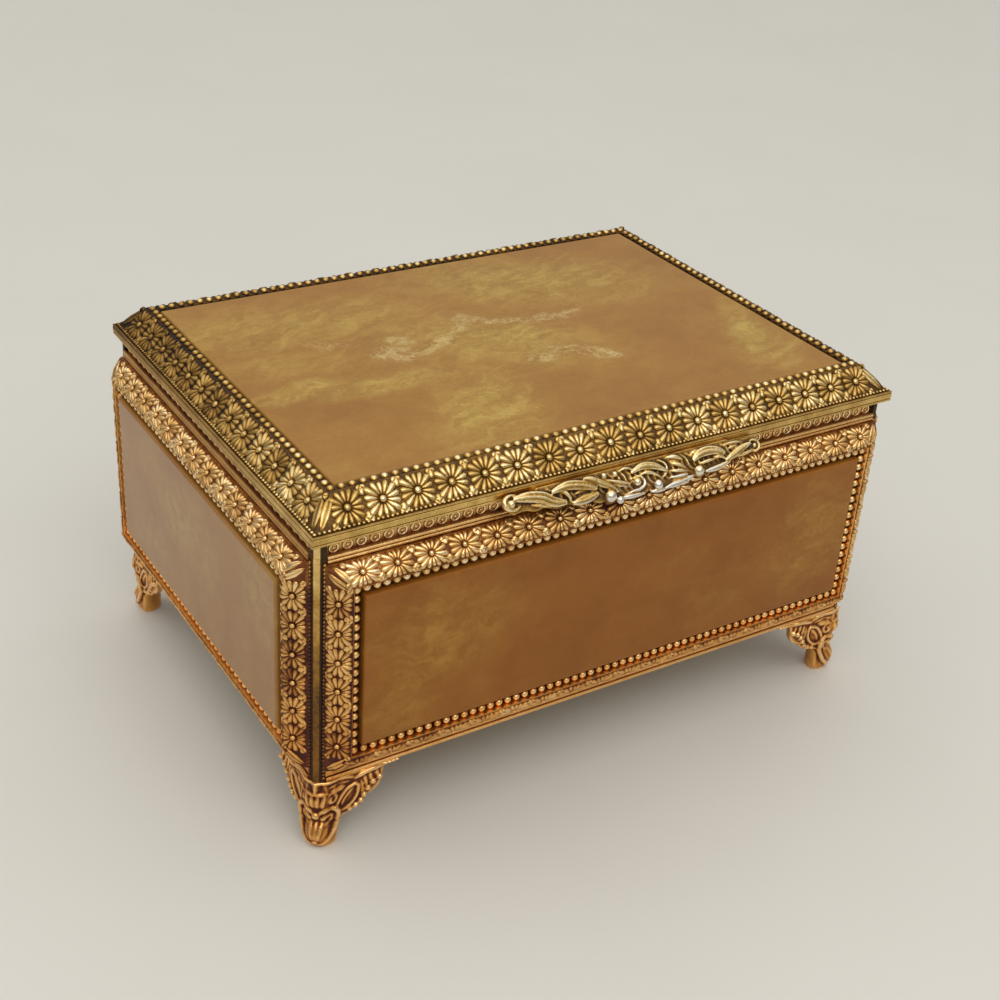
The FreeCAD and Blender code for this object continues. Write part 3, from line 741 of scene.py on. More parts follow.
def lid():
    """Lid casting: rim, lip, sloped flower band, bead rows and the plate under the slab."""
    face = Face(np.zeros(3), *np.eye(3), RIM_X - LID_MOULDING, RIM_Y - LID_MOULDING)
    body = Body()
    foot = LID_MOULDING - LID_LEDGE
    well = PAD_WELL_X - face.half_a
    bed = [(-BED_LAP, STONE_BED, 0.2), (0, STONE_BED, 0.1), (0, LID_FACE - 0.45, 0.1)]
    bead_seat = [(0.15, LID_FACE - 0.2, 0.3), (BEAD - 0.3, LID_FACE - 0.2, 0.18), (BEAD - 0.2, LID_FACE - 0.06, 0.3)]
    slope = [(BEAD + 0.15, LID_FACE - 0.2, 0.20), (foot - 0.25, RIM_TOP + 0.3, 0.20)]
    ledge = [(foot - 0.1, RIM_TOP + 0.1, 0.1), (foot + 0.35, RIM_TOP - 0.02, 0.1), (foot + 0.42, RIM_TOP, 0.55)]
    rim = [(LID_MOULDING - 0.05, RIM_TOP, 0.7), (LID_MOULDING, RIM_TOP - 0.08, 0.7)]
    rim += [(LID_MOULDING, RIM_TOP - 0.22, 0.66), (LID_MOULDING - GROOVE, RIM_TOP - 0.34, 0.05)]
    rim += [(LID_MOULDING, RIM_TOP - 0.46, 0.66), (LID_MOULDING, LID_BOTTOM + 0.1, 0.66)]
    rim += [(LID_MOULDING - GROOVE, LID_BOTTOM - 0.02, 0.05), (LID_MOULDING - 0.3, LID_BOTTOM, 0.4)]
    under = [(well, LID_BOTTOM, 0.5), (well, PAD_WELL_TOP, 0.3), (-BED_LAP, PAD_WELL_TOP, 0.3)]
    body.ring(face, bed + bead_seat + slope + ledge + rim + under)
    lip = [(LID_BOTTOM + 0.2, -LIP, 0.4), (LIP_BOTTOM, -LIP, 0.4), (LIP_BOTTOM, -0.06, 0.6)]
    lip += [(LIP_BOTTOM + 0.06, 0, 0.6), (LID_BOTTOM - 0.14, 0, 0.66), (LID_BOTTOM - 0.02, -GROOVE, 0.05)]
    lip += [(LID_BOTTOM + 0.2, -0.4, 0.05)]
    for outward, notches in SIDES.values():
        body.notched_bar(upright_face(outward, RIM_X, RIM_Y), lip, notches)
    low, high = PAD_WELL_TOP, STONE_BED - 0.05
    wide, deep = face.half_a - 1.3, face.half_b - 1.3
    body.bar(face, [(-deep, low, 0.3), (deep, low, 0.3), (deep, high, 0.3), (-deep, high, 0.3)], -wide, wide)
    for side in (-1, 1):
        near, far = side * PAD_WELL_Y, side * (face.half_b + well)
        strip = [(near, LID_BOTTOM, 0.5), (far, LID_BOTTOM, 0.5), (far, low + 0.1, 0.4), (near, low + 0.1, 0.4)]
        body.bar(face, strip, -PAD_WELL_X, PAD_WELL_X)
    dress(body.piece("lid_frame_casting"), "lid", "gilt_casting", LID_GILT, "lid_frame")
    casting = Casting()
    for side in RAILS:
        rail = Rail(face, side)
        band = Band(rail, [(BEAD, LID_FACE), (foot, RIM_TOP)])
        flower_band(casting, band, LID_BAND, inset=0.65, spacing=5.9)
        pearl_row(casting, rail, PEARL, BEAD_LINE, LID_FACE - 0.26, radius=0.70, pitch=1.81)
        pearl_row(casting, rail, SEED, foot, RIM_TOP + 0.06, radius=0.35, pitch=0.80)
    dress(casting.piece("lid_frame_ornament"), "lid", "gilt_casting", LID_GILT)


def post_beads():
    """Fine bead columns on the flats of the four corner posts."""
    casting = Casting()
    low, high = FOOT_TOP + 0.5, NECK_BASE - 0.5
    count = int((high - low) / POST_BEAD_PITCH)
    for (x, y), long_side in product(CORNERS, (True, False)):
        face = upright_face((0, y, 0) if long_side else (x, 0, 0), CORE_X, CORE_Y)
        face.origin = face.origin + (face.run - POST_BEAD_LINE) * np.array((x, 0, 0) if long_side else (0, y, 0))
        band = Band(Rail(face, "top"), [(0, 0), (100, 0)])
        for k in range(count):
            casting.set(SEED, band, (0.0, low + (k + 0.5) * POST_BEAD_PITCH), 0.0, POST_BEAD)
    # Painted shade: the beads on the posts' flats are darkened.
    casting.relief = [POST_BEAD_SHADE * relief for relief in casting.relief]
    dress(casting.piece("corner_post_beads"), "box", "gilt_casting", BODY_GILT)


def post_tops():
    """Upper ends of the corner posts, from the neck to just under the lid."""
    tops = Body()
    section = [(POST_CHAMFER, 0), (POST_END, 0), (POST_END, WALL_BACK)]
    section += [(v, u) for u, v in section[::-1]]
    for x, y in CORNERS:
        points = []
        for height in (NECK_BASE, NECK_TOP - 0.1):
            points += [(x * (CORE_X - u), y * (CORE_Y - v), height) for u, v in section]
        tops.prism(points, [0.5] * len(points))
    dress(tops.piece("corner_post_tops"), "box", "gilt_casting", POST_GILT)


def smooth_path(points, steps=6):
    """Points along a soft line through the given ones."""
    p = np.array(points, float)
    p = np.concatenate([[2 * p[0] - p[1]], p, [2 * p[-1] - p[-2]]])
    line = []
    for a, b, c, d in zip(p, p[1:], p[2:], p[3:]):
        bend, twist = 2 * a - 5 * b + 4 * c - d, 3 * b - a - 3 * c + d
        for t in np.linspace(0, 1, steps, endpoint=False):
            line.append(0.5 * (2 * b + (c - a) * t + bend * t**2 + twist * t**3))
    line.append(p[-2])
    return np.array(line)


def sweep(path, up, wide, tall, around=8):
    """Closed rib along a path, with a half width across and a half height along up."""
    path = np.asarray(path, float)
    rings = []
    for point, run, w, h in zip(path, np.gradient(path, axis=0), wide, tall):
        across = np.cross(up, run)
        across /= max(np.linalg.norm(across), 1e-9)
        rings.append(point + np.outer(w * np.cos(turns(around)), across) + np.outer(h * np.sin(turns(around)), up))
    form = tube(rings)
    return form.points, form.faces


def ball(middle, radius):
    """Bead of a casting."""
    rings = []
    for lat in np.radians(np.linspace(-80, 80, 8)):
        rings.append([(*spot, math.sin(lat)) for spot in circle(10, (0, 0), math.cos(lat))])
    form = tube(rings)
    return form.points * radius + np.array(middle), form.faces


def skinned(shells, grain):
    """Points, edges and faces of one skin round overlapping closed shells."""
    points, faces = [], []
    for part_points, part_faces in shells:
        faces += [tuple(i + len(points) for i in face) for face in part_faces]
        points += [tuple(p) for p in part_points]
    mesh = bpy.data.meshes.new("pattern")
    mesh.from_pydata(points, [], faces)
    pattern = bpy.data.objects.new("pattern", mesh)
    bpy.context.scene.collection.objects.link(pattern)
    skin = pattern.modifiers.new("skin", "REMESH")
    skin.mode = "VOXEL"
    skin.voxel_size = grain
    cast = bpy.data.meshes.new_from_object(pattern.evaluated_get(bpy.context.evaluated_depsgraph_get()))
    bpy.data.objects.remove(pattern)
    bpy.data.meshes.remove(mesh)
    places = np.empty(len(cast.vertices) * 3)
    cast.vertices.foreach_get("co", places)
    places = places.reshape(-1, 3)
    edges = np.empty(len(cast.edges) * 2, int)
    cast.edges.foreach_get("vertices", edges)
    edges = edges.reshape(-1, 2)
    cast_faces = [tuple(p.vertices) for p in cast.polygons]
    bpy.data.meshes.remove(cast)
    return places, edges, cast_faces


# How far the ground of a fused casting lies below its full relief
RELIEF_DEPTH = 0.20


def fused(shells, grain, reach, level):
    """Overlapping shells cast as one, softened. Its relief is how far a point stands above its surroundings."""
    places, edges, faces = skinned(shells, grain)
    count = np.bincount(edges.ravel(), minlength=len(places))[:, None]

    def averaged(values):
        total = np.zeros_like(values)
        for (i, j), axis in product(((0, 1), (1, 0)), range(3)):
            total[:, axis] += np.bincount(edges[:, i], values[edges[:, j], axis], len(values))
        return total / np.maximum(count, 1)

    places = 0.5 * places + 0.5 * averaged(places)
    calm = places
    for _ in range(reach):
        calm = averaged(calm)
    corners = np.array([f[:4] if len(f) > 3 else (*f, f[2]) for f in faces])
    first, second, third, fourth = (places[corners[:, c]] for c in range(4))
    spread = np.cross(third - first, fourth - second)
    normals = np.zeros_like(places)
    for c, axis in product(range(4), range(3)):
        normals[:, axis] += np.bincount(corners[:, c], spread[:, axis], len(places))
    normals /= np.maximum(np.linalg.norm(normals, axis=1, keepdims=True), 1e-12)
    proud = ((places - calm) * normals).sum(1)
    return places, faces, np.clip(level + proud / RELIEF_DEPTH, 0, 1)


# Ribs of a foot's wing: distance along it and depth below its top, then the rib's radius
WING_RIBS = [
    ([(0.7, 0.35), (3.1, 0.30), (5.5, 0.45), (7.0, 1.0)], 0.36),
    ([(2.6, 1.45), (4.3, 1.1), (6.2, 1.5)], 0.30),
    ([(7.2, 1.3), (8.8, 0.75), (10.4, 0.5), (12.2, 0.55)], 0.48),
    ([(12.4, 0.42), (13.8, 0.28), (15.2, 0.22)], 0.26),
    ([(11.6, 2.3), (11.3, 1.7), (11.2, 1.1)], 0.28),
    ([(10.3, 2.8), (10.1, 2.0), (10.0, 1.2)], 0.28),
    ([(9.4, 3.8), (9.2, 2.6), (9.0, 1.5)], 0.30),
    ([(8.7, 5.0), (8.6, 3.6), (8.4, 2.2)], 0.30),
    ([(2.4, 2.7), (3.2, 2.6), (3.8, 3.7), (3.3, 4.6), (2.6, 4.2), (2.8, 3.5)], 0.32),
    ([(7.1, 2.9), (6.2, 3.8), (5.3, 4.9), (4.8, 6.2)], 0.24),
]
WING_LOBE = [(2.8, 2.4), (4.0, 2.2), (5.4, 2.0)]
WING_EYE = [(7.3, 2.3), (5.7, 2.9), (4.4, 4.6), (4.0, 5.9), (5.0, 6.9), (6.5, 6.2), (7.6, 4.7), (7.8, 3.0), (7.3, 2.3)]
WING_EDGE = [(11.7, 2.5), (10.5, 3.1), (9.6, 4.1), (8.9, 5.2), (8.3, 6.2), (7.4, 6.9), (6.3, 7.2)]
WING_TIP = [(12.9, 0.3), (13.6, 0.27), (14.3, 0.25), (15.0, 0.22)]
# Scrolls of the toe: distance across the corner and height
TOE_HEART = [(0.1, 6.3), (1.1, 7.7), (2.4, 8.0), (3.2, 7.1), (3.0, 5.3), (2.6, 3.4), (1.5, 1.4), (0.1, 0.7)]
TOE_CURL = [(0.5, 5.0), (1.3, 6.3), (2.2, 6.6), (2.1, 5.6), (1.4, 4.6)]
TOE_HALF = 2.3
WING_END, WING_END_HEIGHT, WING_THICK = 12.4, 0.62, 2.5


def foot_core():
    """The front left foot's solid, its wings held in towards the walls and thinned at their tips."""
    mesh = nodes["foot_front_left"].data
    points = np.array([v.co for v in mesh.vertices]) * 1000
    for axis, other in ((0, 1), (1, 0)):
        along = points[:, axis] + (CORE_X, CORE_Y)[axis]
        across = points[:, other] + (CORE_X, CORE_Y)[other]
        tip = (along > WING_END) & (across < WING_THICK)
        points[tip, 2] = np.maximum(points[tip, 2], FOOT_TOP - WING_END_HEIGHT)
        held_in = 1 - 0.85 * np.clip((along - 0.5) / 3.5, 0, 1) * (across < 0)
        points[:, other] = across * held_in - (CORE_X, CORE_Y)[other]
    return points, [tuple(p.vertices) for p in mesh.polygons]


def feet():
    """Bracket feet: the solid's form with ribs, a beaded edge, an eyed leaf, knee pleats and a scrolled toe."""
    points, faces = foot_core()
    tree = BVHTree.FromPolygons([Vector(p) for p in points], faces)
    corner = np.array([-CORE_X, -CORE_Y, 0.0])
    outward = np.array([-1, -1, 0]) / math.sqrt(2)
    sideways = np.array([1, -1, 0]) / math.sqrt(2)
    shells = [(points, faces)]

    def struck(start, run):
        """Where a line first meets the foot, as a list of one place or none."""
        hit = tree.ray_cast(Vector(start), Vector(run))[0]
        return [] if hit is None else [np.array(hit)]

    def on_wing(path, front):
        """Places on a wing, from distance along it and depth below its top."""
        found = []
        for d, e in path:
            if front:
                found += struck((corner[0] + d, corner[1] - 20, FOOT_TOP - e), (0, 1, 0))
            else:
                found += struck((corner[0] - 20, corner[1] + d, FOOT_TOP - e), (1, 0, 0))
        return np.array(found)

    def on_toe(path):
        """Places on the leg, from distance across the corner and height. Beyond its sides they lie beside it."""
        found = []
        for h, z in path:
            inside = max(-TOE_HALF, min(TOE_HALF, h))
            for hit in struck(corner + 20 * outward + inside * sideways + np.array([0, 0, z]), -outward):
                found.append(hit + (h - inside) * sideways - 0.5 * abs(h - inside) * outward)
        return np.array(found)

    def rib(places, up, radius, tall=1.0):
        if len(places) > 2:
            swell = np.clip(1.25 * np.sin(np.linspace(0.35, math.pi - 0.35, len(places))), 0.45, 1)
            shells.append(sweep(places, up, radius * swell, radius * swell * tall))

    def pleats(shares, narrowed, top, bottom, radius):
        """Upright ribs side by side on the leg, closer together lower down."""
        for share in shares:
            drawn_in = zip(np.linspace(1.0, narrowed, 8), np.linspace(top, bottom, 8))
            rib(on_toe([(share * w, z) for w, z in drawn_in]), outward, radius)

    for front in (True, False):
        up = np.array([0, -1.0, 0]) if front else np.array([-1.0, 0, 0])
        for path, radius in WING_RIBS:
            rib(on_wing(smooth_path(path), front), up, radius)
        rib(on_wing(smooth_path(WING_LOBE), front), up, 0.75, 0.6)
        loop = on_wing(smooth_path(WING_EYE), front)
        shells.append(sweep(loop, up, np.full(len(loop), 0.32), np.full(len(loop), 0.42)))
        for spot in on_wing(WING_EDGE, front):
            shells.append(ball(spot + up * 0.15, 0.52))
        for spot in on_wing(WING_TIP, front):
            shells.append(ball(spot + up * 0.1, 0.30))
    pleats((-1.5, -0.5, 0.5, 1.5), 0.7, 11.2, 8.5, 0.42)
    rib(on_toe([(h, 11.45) for h in np.linspace(-1.9, 1.9, 12)]), outward, 0.34)
    for spot in on_toe([(0, 6.7)]):
        shells.append(ball(spot + 0.1 * outward, 0.72))
    for side in (-1, 1):
        for path, radius in ((TOE_HEART, 0.50), (TOE_CURL, 0.34)):
            rib(on_toe([(side * h, z) for h, z in smooth_path(path)]), outward, radius)
    pleats((-1.0, 0.0, 1.0), 0.5, 5.4, 2.0, 0.38)
    for spot in on_toe([(0, 1.5)]):
        shells.append(ball(spot - 0.2 * outward, 0.55))
    cast_points, cast_faces, relief = fused(shells, grain=0.19, reach=8, level=0.46)
    cast_points[:, 2] = np.clip(cast_points[:, 2], 0.0, FOOT_TOP)
    for (depth, y), (side, x) in product((("front", 1), ("back", -1)), (("left", 1), ("right", -1))):
        name = "foot_" + depth + "_" + side
        turned = cast_faces if x * y > 0 else [f[::-1] for f in cast_faces]
        piece = make(name + "_casting", cast_points * (x, y, 1), turned, relief)
        dress(piece, "box", "gilt_casting", BODY_GILT, name)


# The spray, from its middle: distance to the right and down its face, then half width and height
SPRAY_HALF, SPRAY_DEPTH, SPRAY_TILT = 25.5, 5.5, math.radians(55)
PLATE_BACK, RIDGE_LIFT, STEM_LIFT, PLATE_FRONT, BALL_LIFT = 0.02, 0.64, 0.72, 0.75, 0.95
SPRAY_EDGE = [(0.0, 0.94), (0.2, 0.92), (0.38, 0.8), (0.6, 0.7), (0.8, 0.58), (0.94, 0.54), (1.0, 0.25)]
SPRAY_LEAVES = [
    ([(-23.6, 0.6), (-21.0, 0.8), (-18.5, 1.4), (-16.7, 2.5), (-14.4, 3.1)], 1.15, 0.70),
    ([(-16.8, 1.0), (-14.2, 0.6), (-12.2, 0.8), (-10.4, 1.3), (-8.4, 2.2)], 0.95, 0.80),
    ([(-13.4, 3.5), (-10.9, 3.4), (-8.2, 3.0)], 0.80, 0.60),
    ([(-10.6, 0.1), (-9.0, 0.6), (-7.6, 1.5), (-6.0, 2.4), (-4.6, 3.6)], 0.70, 0.80),
    ([(-1.6, 1.2), (0.5, 0.6), (2.1, 0.7), (3.6, 1.2), (5.2, 2.2)], 0.75, 0.80),
    ([(10.8, 1.8), (12.3, 1.0), (14.1, 0.8), (16.0, 1.1), (17.6, 1.8)], 0.95, 0.85),
    ([(4.6, 4.9), (7.7, 4.6), (10.4, 4.2)], 0.62, 0.60),
    ([(13.0, 4.0), (15.6, 3.9), (18.4, 3.4)], 0.55, 0.55),
    ([(17.4, 3.1), (19.3, 2.5), (21.3, 1.8), (23.4, 1.3)], 0.70, 0.65),
]
SPRAY_STEMS = [
    ([(-22.8, 0.0), (-24.1, -0.1), (-25.0, 0.4), (-25.2, 1.1), (-24.7, 1.9), (-23.5, 2.2), (-22.4, 1.8)], 0.42, 0.62),
    ([(-15.4, 1.2), (-14.4, 1.5), (-13.7, 2.3), (-13.5, 3.3)], 0.44, 0.85),
    ([(-7.4, 0.9), (-5.2, 1.7), (-3.4, 2.3), (-1.8, 2.8)], 0.36, 0.85),
    ([(-6.6, 1.8), (-4.6, 2.5), (-2.4, 3.2)], 0.30, 0.65),
    ([(-1.8, 2.2), (-0.3, 1.9), (0.6, 2.6), (0.6, 3.5), (-0.4, 4.0), (-1.8, 4.1), (-3.4, 4.3)], 0.38, 0.75),
    ([(-4.4, 4.6), (-2.2, 4.8), (0.4, 4.8)], 0.46, 0.62),
    ([(-0.4, 1.9), (1.4, 1.7), (2.9, 2.2), (3.9, 2.9)], 0.40, 0.75),
    ([(1.6, 4.9), (3.3, 5.0), (4.9, 5.0)], 0.42, 0.60),
    ([(6.0, 0.2), (7.6, 0.4), (9.2, 1.2)], 0.50, 0.80),
    ([(9.6, 2.8), (8.2, 1.9), (6.5, 1.2)], 0.42, 0.70),
    ([(9.6, 3.2), (8.0, 2.8), (6.0, 2.4)], 0.40, 0.70),
    ([(9.6, 3.6), (8.2, 3.7), (5.8, 3.5)], 0.40, 0.70),
    ([(11.9, 2.6), (13.9, 2.4), (15.8, 2.4)], 0.42, 0.70),
    ([(15.2, 2.2), (16.6, 2.2), (17.8, 3.0)], 0.42, 0.75),
    ([(19.5, 2.9), (21.6, 2.8), (23.9, 2.5)], 0.36, 0.60),
    ([(22.6, 1.4), (24.0, 0.9), (24.9, 1.5), (24.9, 2.4), (24.0, 2.8), (23.3, 2.3)], 0.36, 0.60),
    ([(-20.6, 2.2), (-18.8, 2.6), (-17.0, 3.3)], 0.32, 0.55),
    ([(-12.8, 2.2), (-11.2, 2.0), (-9.6, 2.2)], 0.32, 0.55),
    ([(-12.4, 2.8), (-10.8, 2.7), (-8.9, 2.6)], 0.26, 0.50),
    ([(-3.7, 0.5), (-2.5, 0.2), (-1.3, 0.5), (-0.6, 1.3)], 0.28, 0.55),
    ([(4.3, 0.2), (5.3, 0.9), (5.6, 1.8), (5.2, 2.7), (4.4, 3.2)], 0.30, 0.60),
    ([(6.4, 0.8), (7.7, 1.2), (9.0, 2.0)], 0.24, 0.50),
    ([(6.0, 4.1), (7.6, 4.1), (9.2, 3.8)], 0.24, 0.50),
    ([(10.6, 0.9), (11.7, 0.3), (13.2, 0.1)], 0.28, 0.50),
    ([(17.6, 0.6), (19.2, 0.5), (20.8, 0.6), (22.2, 0.9)], 0.32, 0.50),
    ([(18.2, 1.4), (19.6, 1.2), (21.0, 1.2)], 0.28, 0.45),
]
SPRAY_BALLS = [
    (-24.1, 1.2, 0.70), (-6.2, 3.9, 1.10), (-6.5, 0.5, 0.52), (-4.4, 0.7, 0.52), (-0.6, 2.8, 0.72),
    (3.2, 4.1, 0.90), (11.7, 3.6, 0.98), (-4.6, 4.9, 0.70), (24.1, 1.9, 0.42),
]


def thumb_piece():
    """Leaf spray on the lid's front rim: curled tips, ridged leaves, stems and balls on a fluted ground."""
    origin = np.array([0, -RIM_Y, LID_BOTTOM])
    down = np.array([0, -math.cos(SPRAY_TILT), -math.sin(SPRAY_TILT)])
    up = np.array([0, -math.sin(SPRAY_TILT), math.cos(SPRAY_TILT)])

    def on_spray(path, lift):
        path = np.asarray(path, float)
        return origin + np.outer(path[:, 0], (1, 0, 0)) + np.outer(path[:, 1], down) + lift * up

    def lower_edge(share):
        return np.interp(abs(share), *zip(*SPRAY_EDGE)) * SPRAY_DEPTH

    rings = []
    for share in np.linspace(-0.97, 0.97, 60):
        low = lower_edge(share) * (0.93 + 0.07 * math.cos(share * 40))
        high = -0.3 if abs(share) < 0.74 else 0.25
        edges = [(share * SPRAY_HALF, high), (share * SPRAY_HALF, low)]
        rings.append(np.concatenate([on_spray(edges, PLATE_BACK), on_spray(edges[::-1], PLATE_FRONT)]))
    plate = tube(rings)
    shells = [(plate.points, plate.faces)]

    def stroke(path, wide, tall):
        line = smooth_path(path, 7)
        swell = np.sin(np.linspace(0.25, math.pi - 0.25, len(line))) ** 0.7
        shells.append(sweep(on_spray(line, STEM_LIFT), up, wide * swell, tall * swell, 10))
        return line, swell

    for path, wide, tall in SPRAY_LEAVES:
        line, swell = stroke(path, wide, tall)
        runs = np.gradient(line, axis=0)
        aside = np.stack([-runs[:, 1], runs[:, 0]], 1) / np.linalg.norm(runs, axis=1)[:, None]
        size = 0.25 * wide * np.clip(swell * 1.2, 0.3, 1)
        for share in (-0.6, 0.0, 0.6):
            ridge = line + share * wide * aside * swell[:, None]
            lift = RIDGE_LIFT + tall * math.sqrt(1 - share**2)
            shells.append(sweep(on_spray(ridge, lift), up, size, size))
    for path, wide, tall in SPRAY_STEMS:
        stroke(path, wide, tall)
    for start in np.arange(-21.5, 20.6, 1.05):
        reach = 0.8 * lower_edge((start + 1.2) / SPRAY_HALF)
        flute = [(0.0, 0.25), (0.9, 0.32 * reach), (1.3, 0.68 * reach), (2.3, reach)]
        stroke([(start + a, b) for a, b in flute], 0.24, 0.34)
    for a, b, radius in SPRAY_BALLS:
        shells.append(ball(on_spray([(a, b)], BALL_LIFT)[0], radius))
    cast_points, cast_faces, relief = fused(shells, grain=0.14, reach=12, level=0.58)
    relief *= np.interp((cast_points - origin) @ up, (PLATE_FRONT, 1.25), (0.62, 1.0))
    cast_points[:, 1] = np.minimum(cast_points[:, 1], -RIM_Y)
    piece = make("thumb_piece_casting", cast_points, cast_faces, relief)
    dress(piece, "lid", "gilt_casting", SPRAY_GILT, "thumb_piece")


# Each pad's thin axis, and the way along it that its velvet faces
PAD_FACES = {
    "floor_lining": (2, 1),
    "front_lining": (1, 1),
    "back_lining": (1, -1),
    "left_lining": (0, 1),
    "right_lining": (0, -1),
    "lid_lining": (2, -1),
}
PAD_GRID, PAD_ROUND, PAD_DRAW = 1.6, 1.6, 0.35
PAD_SHOULDER, PAD_CROWN, PAD_SEAM = 0.72, 0.26, 0.02


def pads():
    """Velvet pads: a flat back, a crowned face and sides that draw in between the corners."""
    for name, (axis, toward) in PAD_FACES.items():
        low, high = (np.array(c) * 1000 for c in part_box(name))
        middle, halves = (low + high) / 2, (high - low) / 2
        first, second = (i for i in range(3) if i != axis)
        counts = [max(12, int(2 * halves[i] / PAD_GRID)) for i in (first, second)]
        u, v = np.meshgrid(*(np.sin(np.linspace(-math.pi / 2, math.pi / 2, n)) for n in counts), indexing="ij")
        edge = np.ones_like(u)
        for share, half in ((u, halves[first]), (v, halves[second])):
            edge *= np.maximum(0, 1 - np.maximum(np.abs(share) * half - half + PAD_ROUND, 0) / PAD_ROUND)
        crown = PAD_SHOULDER + PAD_CROWN * (1 - u**4) * (1 - v**4)
        crown = np.sqrt(np.maximum(0, 1 - (1 - edge) ** 2)) * crown + PAD_SEAM
        sheets = []
        for rise in (np.zeros_like(crown), crown * 2 * halves[axis]):
            points = np.zeros((*u.shape, 3))
            points[..., first] = middle[first] + u * (halves[first] - PAD_DRAW * (1 - v**2))
            points[..., second] = middle[second] + v * (halves[second] - PAD_DRAW * (1 - u**2))
            points[..., axis] = middle[axis] - toward * halves[axis] + toward * rise
            sheets.append(points.reshape(-1, 3))
        size = u.size
        grid = np.arange(size).reshape(u.shape)
        back = np.stack([grid[:-1, :-1], grid[1:, :-1], grid[1:, 1:], grid[:-1, 1:]], -1).reshape(-1, 4)
        quads = np.concatenate([back, size + back[:, [0, 3, 2, 1]]]).tolist()
        rim = np.concatenate([grid[:, 0], grid[-1, 1:], grid[-2::-1, -1], grid[0, -2:0:-1]]).tolist()
        quads += [(a, b, size + b, size + a) for a, b in zip(rim, rim[1:] + rim[:1])]
        body = Body()
        body.add(np.concatenate(sheets), quads, [1.0] * (2 * size))
        piece = body.piece(name + "_pad")
        dress(piece, "lid" if name == "lid_lining" else "box", "velvet", VELVET, name)


# Clouds and veins of the slabs: middle, half sizes, turn in degrees and strength of each oval
LID_CLOUDS = [
    (-32, 19, 27, 10, -4, 0.85),
    (-36, 4, 17, 6, -10, 0.55),
    (-34, -7, 25, 4.2, -4, 1.0),
    (-3, 0, 22, 11, -28, 1.0),
    (18, 20, 26, 12, -20, 0.95),
    (-17, -23, 9, 16, -36, 1.05),
    (43, -17, 4, 16, -30, 1.1),
    (45, -25, 4, 10, -32, 0.8),
]
LID_VEINS = [
    (-20.5, 0.5, 5.0, 3.4, -20, 1.0),
    (-17.0, 6.0, 3.0, 2.4, 20, 0.8),
    (-12.0, 1.5, 8.5, 1.7, 28, 0.85),
    (-2.8, 8.0, 5.2, 1.7, 30, 0.95),
    (4.5, 6.6, 6.0, 1.8, -40, 0.8),
    (13.5, 4.2, 6.5, 2.4, 8, 0.9),
    (2.0, -9.6, 3.8, 1.6, -35, 0.9),
    (10.5, -11.0, 6.5, 2.8, -30, 1.0),
    (-30.0, 9.0, 7.0, 2.0, -10, 0.45),
]
FRONT_CLOUDS = [(-36, 39, 13, 9, 0, 0.95), (-43, 28, 7, 7, 0, 0.75), (42, 36, 11, 11, 0, 0.85), (20, 28, 9, 6, 0, 0.35)]
BACK_CLOUDS = [(30, 40, 14, 9, 0, 0.7), (-28, 30, 18, 8, 0, 0.6)]
LEFT_CLOUDS = [(3, 40, 12, 7, 0, 0.6), (-28, 44, 7, 8, 0, 0.6), (18, 28, 9, 6, 0, 0.4)]
RIGHT_CLOUDS = [(-20, 38, 11, 9, 0, 0.7), (14, 32, 14, 8, 0, 0.55)]
THROUGH = 60.0


def ovals(axis, level, rows):
    """Ovals that run right through a slab, along the axis that its face looks along."""
    found = []
    for u, v, half_u, half_v, turn, strength in rows:
        middle, halves = [u, v], [half_u, half_v]
        middle.insert(axis, level)
        halves.insert(axis, THROUGH)
        found.append((middle, halves, (0, 0, math.radians(turn)), strength))
    return found


def finish_nodes():
    """Finishes of the solids that show as they are."""
    top, side, end = LID_FACE - 0.1, CORE_Y + WALL_STONE_PROUD, CORE_X + WALL_STONE_PROUD
    lid_clouds, lid_veins = ovals(2, top, LID_CLOUDS), ovals(2, top, LID_VEINS)
    finishes = {
        "lid_stone": onyx("lid_onyx", lid_clouds, lid_veins, math.radians(22), 0.35, (0.985, 1.0, 0.93)),
        # The front slab is darkened: partly its own deeper brown, partly painted shade for a face that gets less light.
        "front_stone": onyx("front_onyx", ovals(1, -side, FRONT_CLOUDS), stain_and_shade=(0.90, 0.80, 0.66)),
        "back_stone": onyx("back_onyx", ovals(1, side, BACK_CLOUDS)),
        "left_stone": onyx("left_onyx", ovals(0, -end, LEFT_CLOUDS), sheen=0.5),
        "right_stone": onyx("right_onyx", ovals(0, end, RIGHT_CLOUDS)),
    }
    for name, node in nodes.items():
        if name in finishes:
            finish = finishes[name]
        elif name.startswith("corner_post"):
            # The corner posts' solids take the gilding with painted light on the chamfers and painted shade on the
            # flats.
            finish = POST_GILT
        elif name.startswith("hinge_pin"):
            finish = STEEL
        else:
            finish = BRASS
        node.data.materials.clear()
        node.data.materials.append(finish)


def camera():
    """The photo's own view, with its slight roll."""
    eye = Vector((-0.14217, -0.21590, 0.18149))
    target = Vector((0.00153, -0.00117, 0.03105))
    roll = math.radians(4.11)
    data = bpy.data.cameras.new("camera")
    data.lens = 56.89
    data.sensor_width = 36.0
    data.clip_start = 0.01
    view = bpy.data.objects.new("camera", data)
    turn = (target - eye).to_track_quat("-Z", "Y").to_matrix().to_4x4()
    view.matrix_world = Matrix.Translation(eye) @ turn @ Matrix.Rotation(roll, 4, "Z")
    bpy.context.scene.collection.objects.link(view)
    bpy.context.scene.camera = view


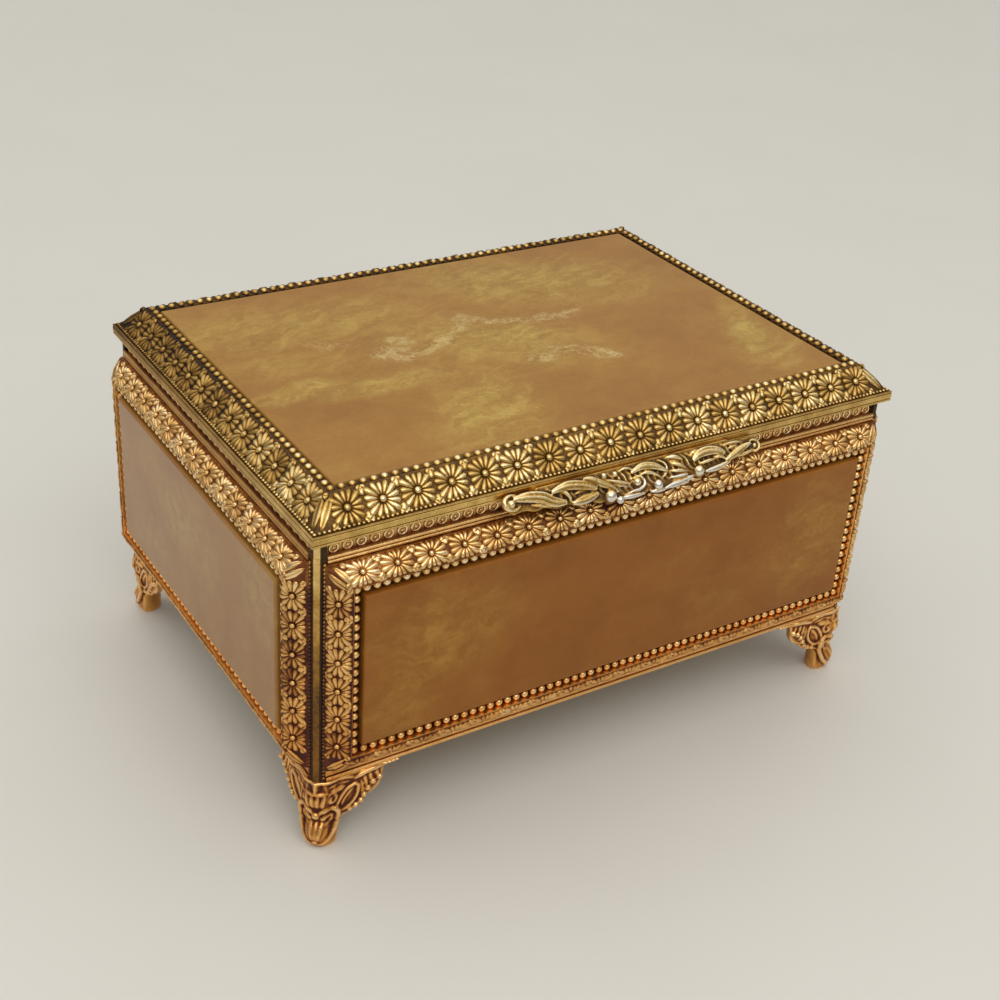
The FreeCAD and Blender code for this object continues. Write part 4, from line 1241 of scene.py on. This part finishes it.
def table_top():
    """Pale, faintly mottled table."""
    f = Finish("pale_table")
    where = f.place()
    mottle = f.noise(where, 60.0, 3.0)
    speck = f.noise(where, 1.5, 3.0)
    pale = f.mix(mottle, (0.645, 0.632, 0.578), (0.685, 0.672, 0.620))
    paint = f.surface(base_color=pale, roughness=(speck * 0.2 + 0.45).held(), normal=f.bump(speck, 0.02))
    half = 2500.0
    floor = make("table", [(-half, -half, 0), (half, -half, 0), (half, half, 0), (-half, half, 0)], [(0, 1, 2, 3)])
    floor.data.materials.append(paint)


BOX_MIDDLE = Vector((0, 0, 0.03))


def lamp(name, place, size, power, colour):
    """Soft lamp that points at the middle of the box."""
    data = bpy.data.lights.new(name, "AREA")
    data.shape = "RECTANGLE"
    data.size, data.size_y = size
    data.energy = power
    data.color = colour
    light = bpy.data.objects.new(name, data)
    light.location = place
    light.rotation_euler = (BOX_MIDDLE - light.location).to_track_quat("-Z", "Y").to_euler()
    bpy.context.scene.collection.objects.link(light)


def light():
    """Soft room: pale overhead, dimmer towards the sides. The camera itself sees a plain pale backdrop."""
    f = Finish("room", bpy.data.worlds)
    bpy.context.scene.world = f.material
    height = f.node("SeparateXYZ", {}, {0: f.node("TexCoord", out="Generated")}, "Z")
    low, side = (0.20, 0.195, 0.19), (0.43, 0.42, 0.40)
    high, overhead = (0.97, 0.955, 0.925), (1.18, 1.165, 1.135)
    sky = f.ramp(height, [(0.0, low), (0.45, side), (0.75, high), (1.0, overhead)])
    seen = f.node("LightPath", out="Is Camera Ray")
    shade = f.mix(seen, sky, (0.62, 0.60, 0.54))
    f.node("OutputWorld", {}, {"Surface": f.node("Background", {}, {"Color": shade, "Strength": 1.0})}, None)
    lamp("window", (-0.55, 0.45, 0.85), (0.8, 0.8), 0.6, (1.0, 0.98, 0.96))
    lamp("ceiling", (-0.20, -0.62, 0.72), (1.0, 0.7), 3.1, (1.0, 0.98, 0.95))


camera()
walls()
lid()
post_beads()
post_tops()
feet()
thumb_piece()
pads()
finish_nodes()
table_top()
light()
bpy.context.scene.view_settings.view_transform = "Standard"
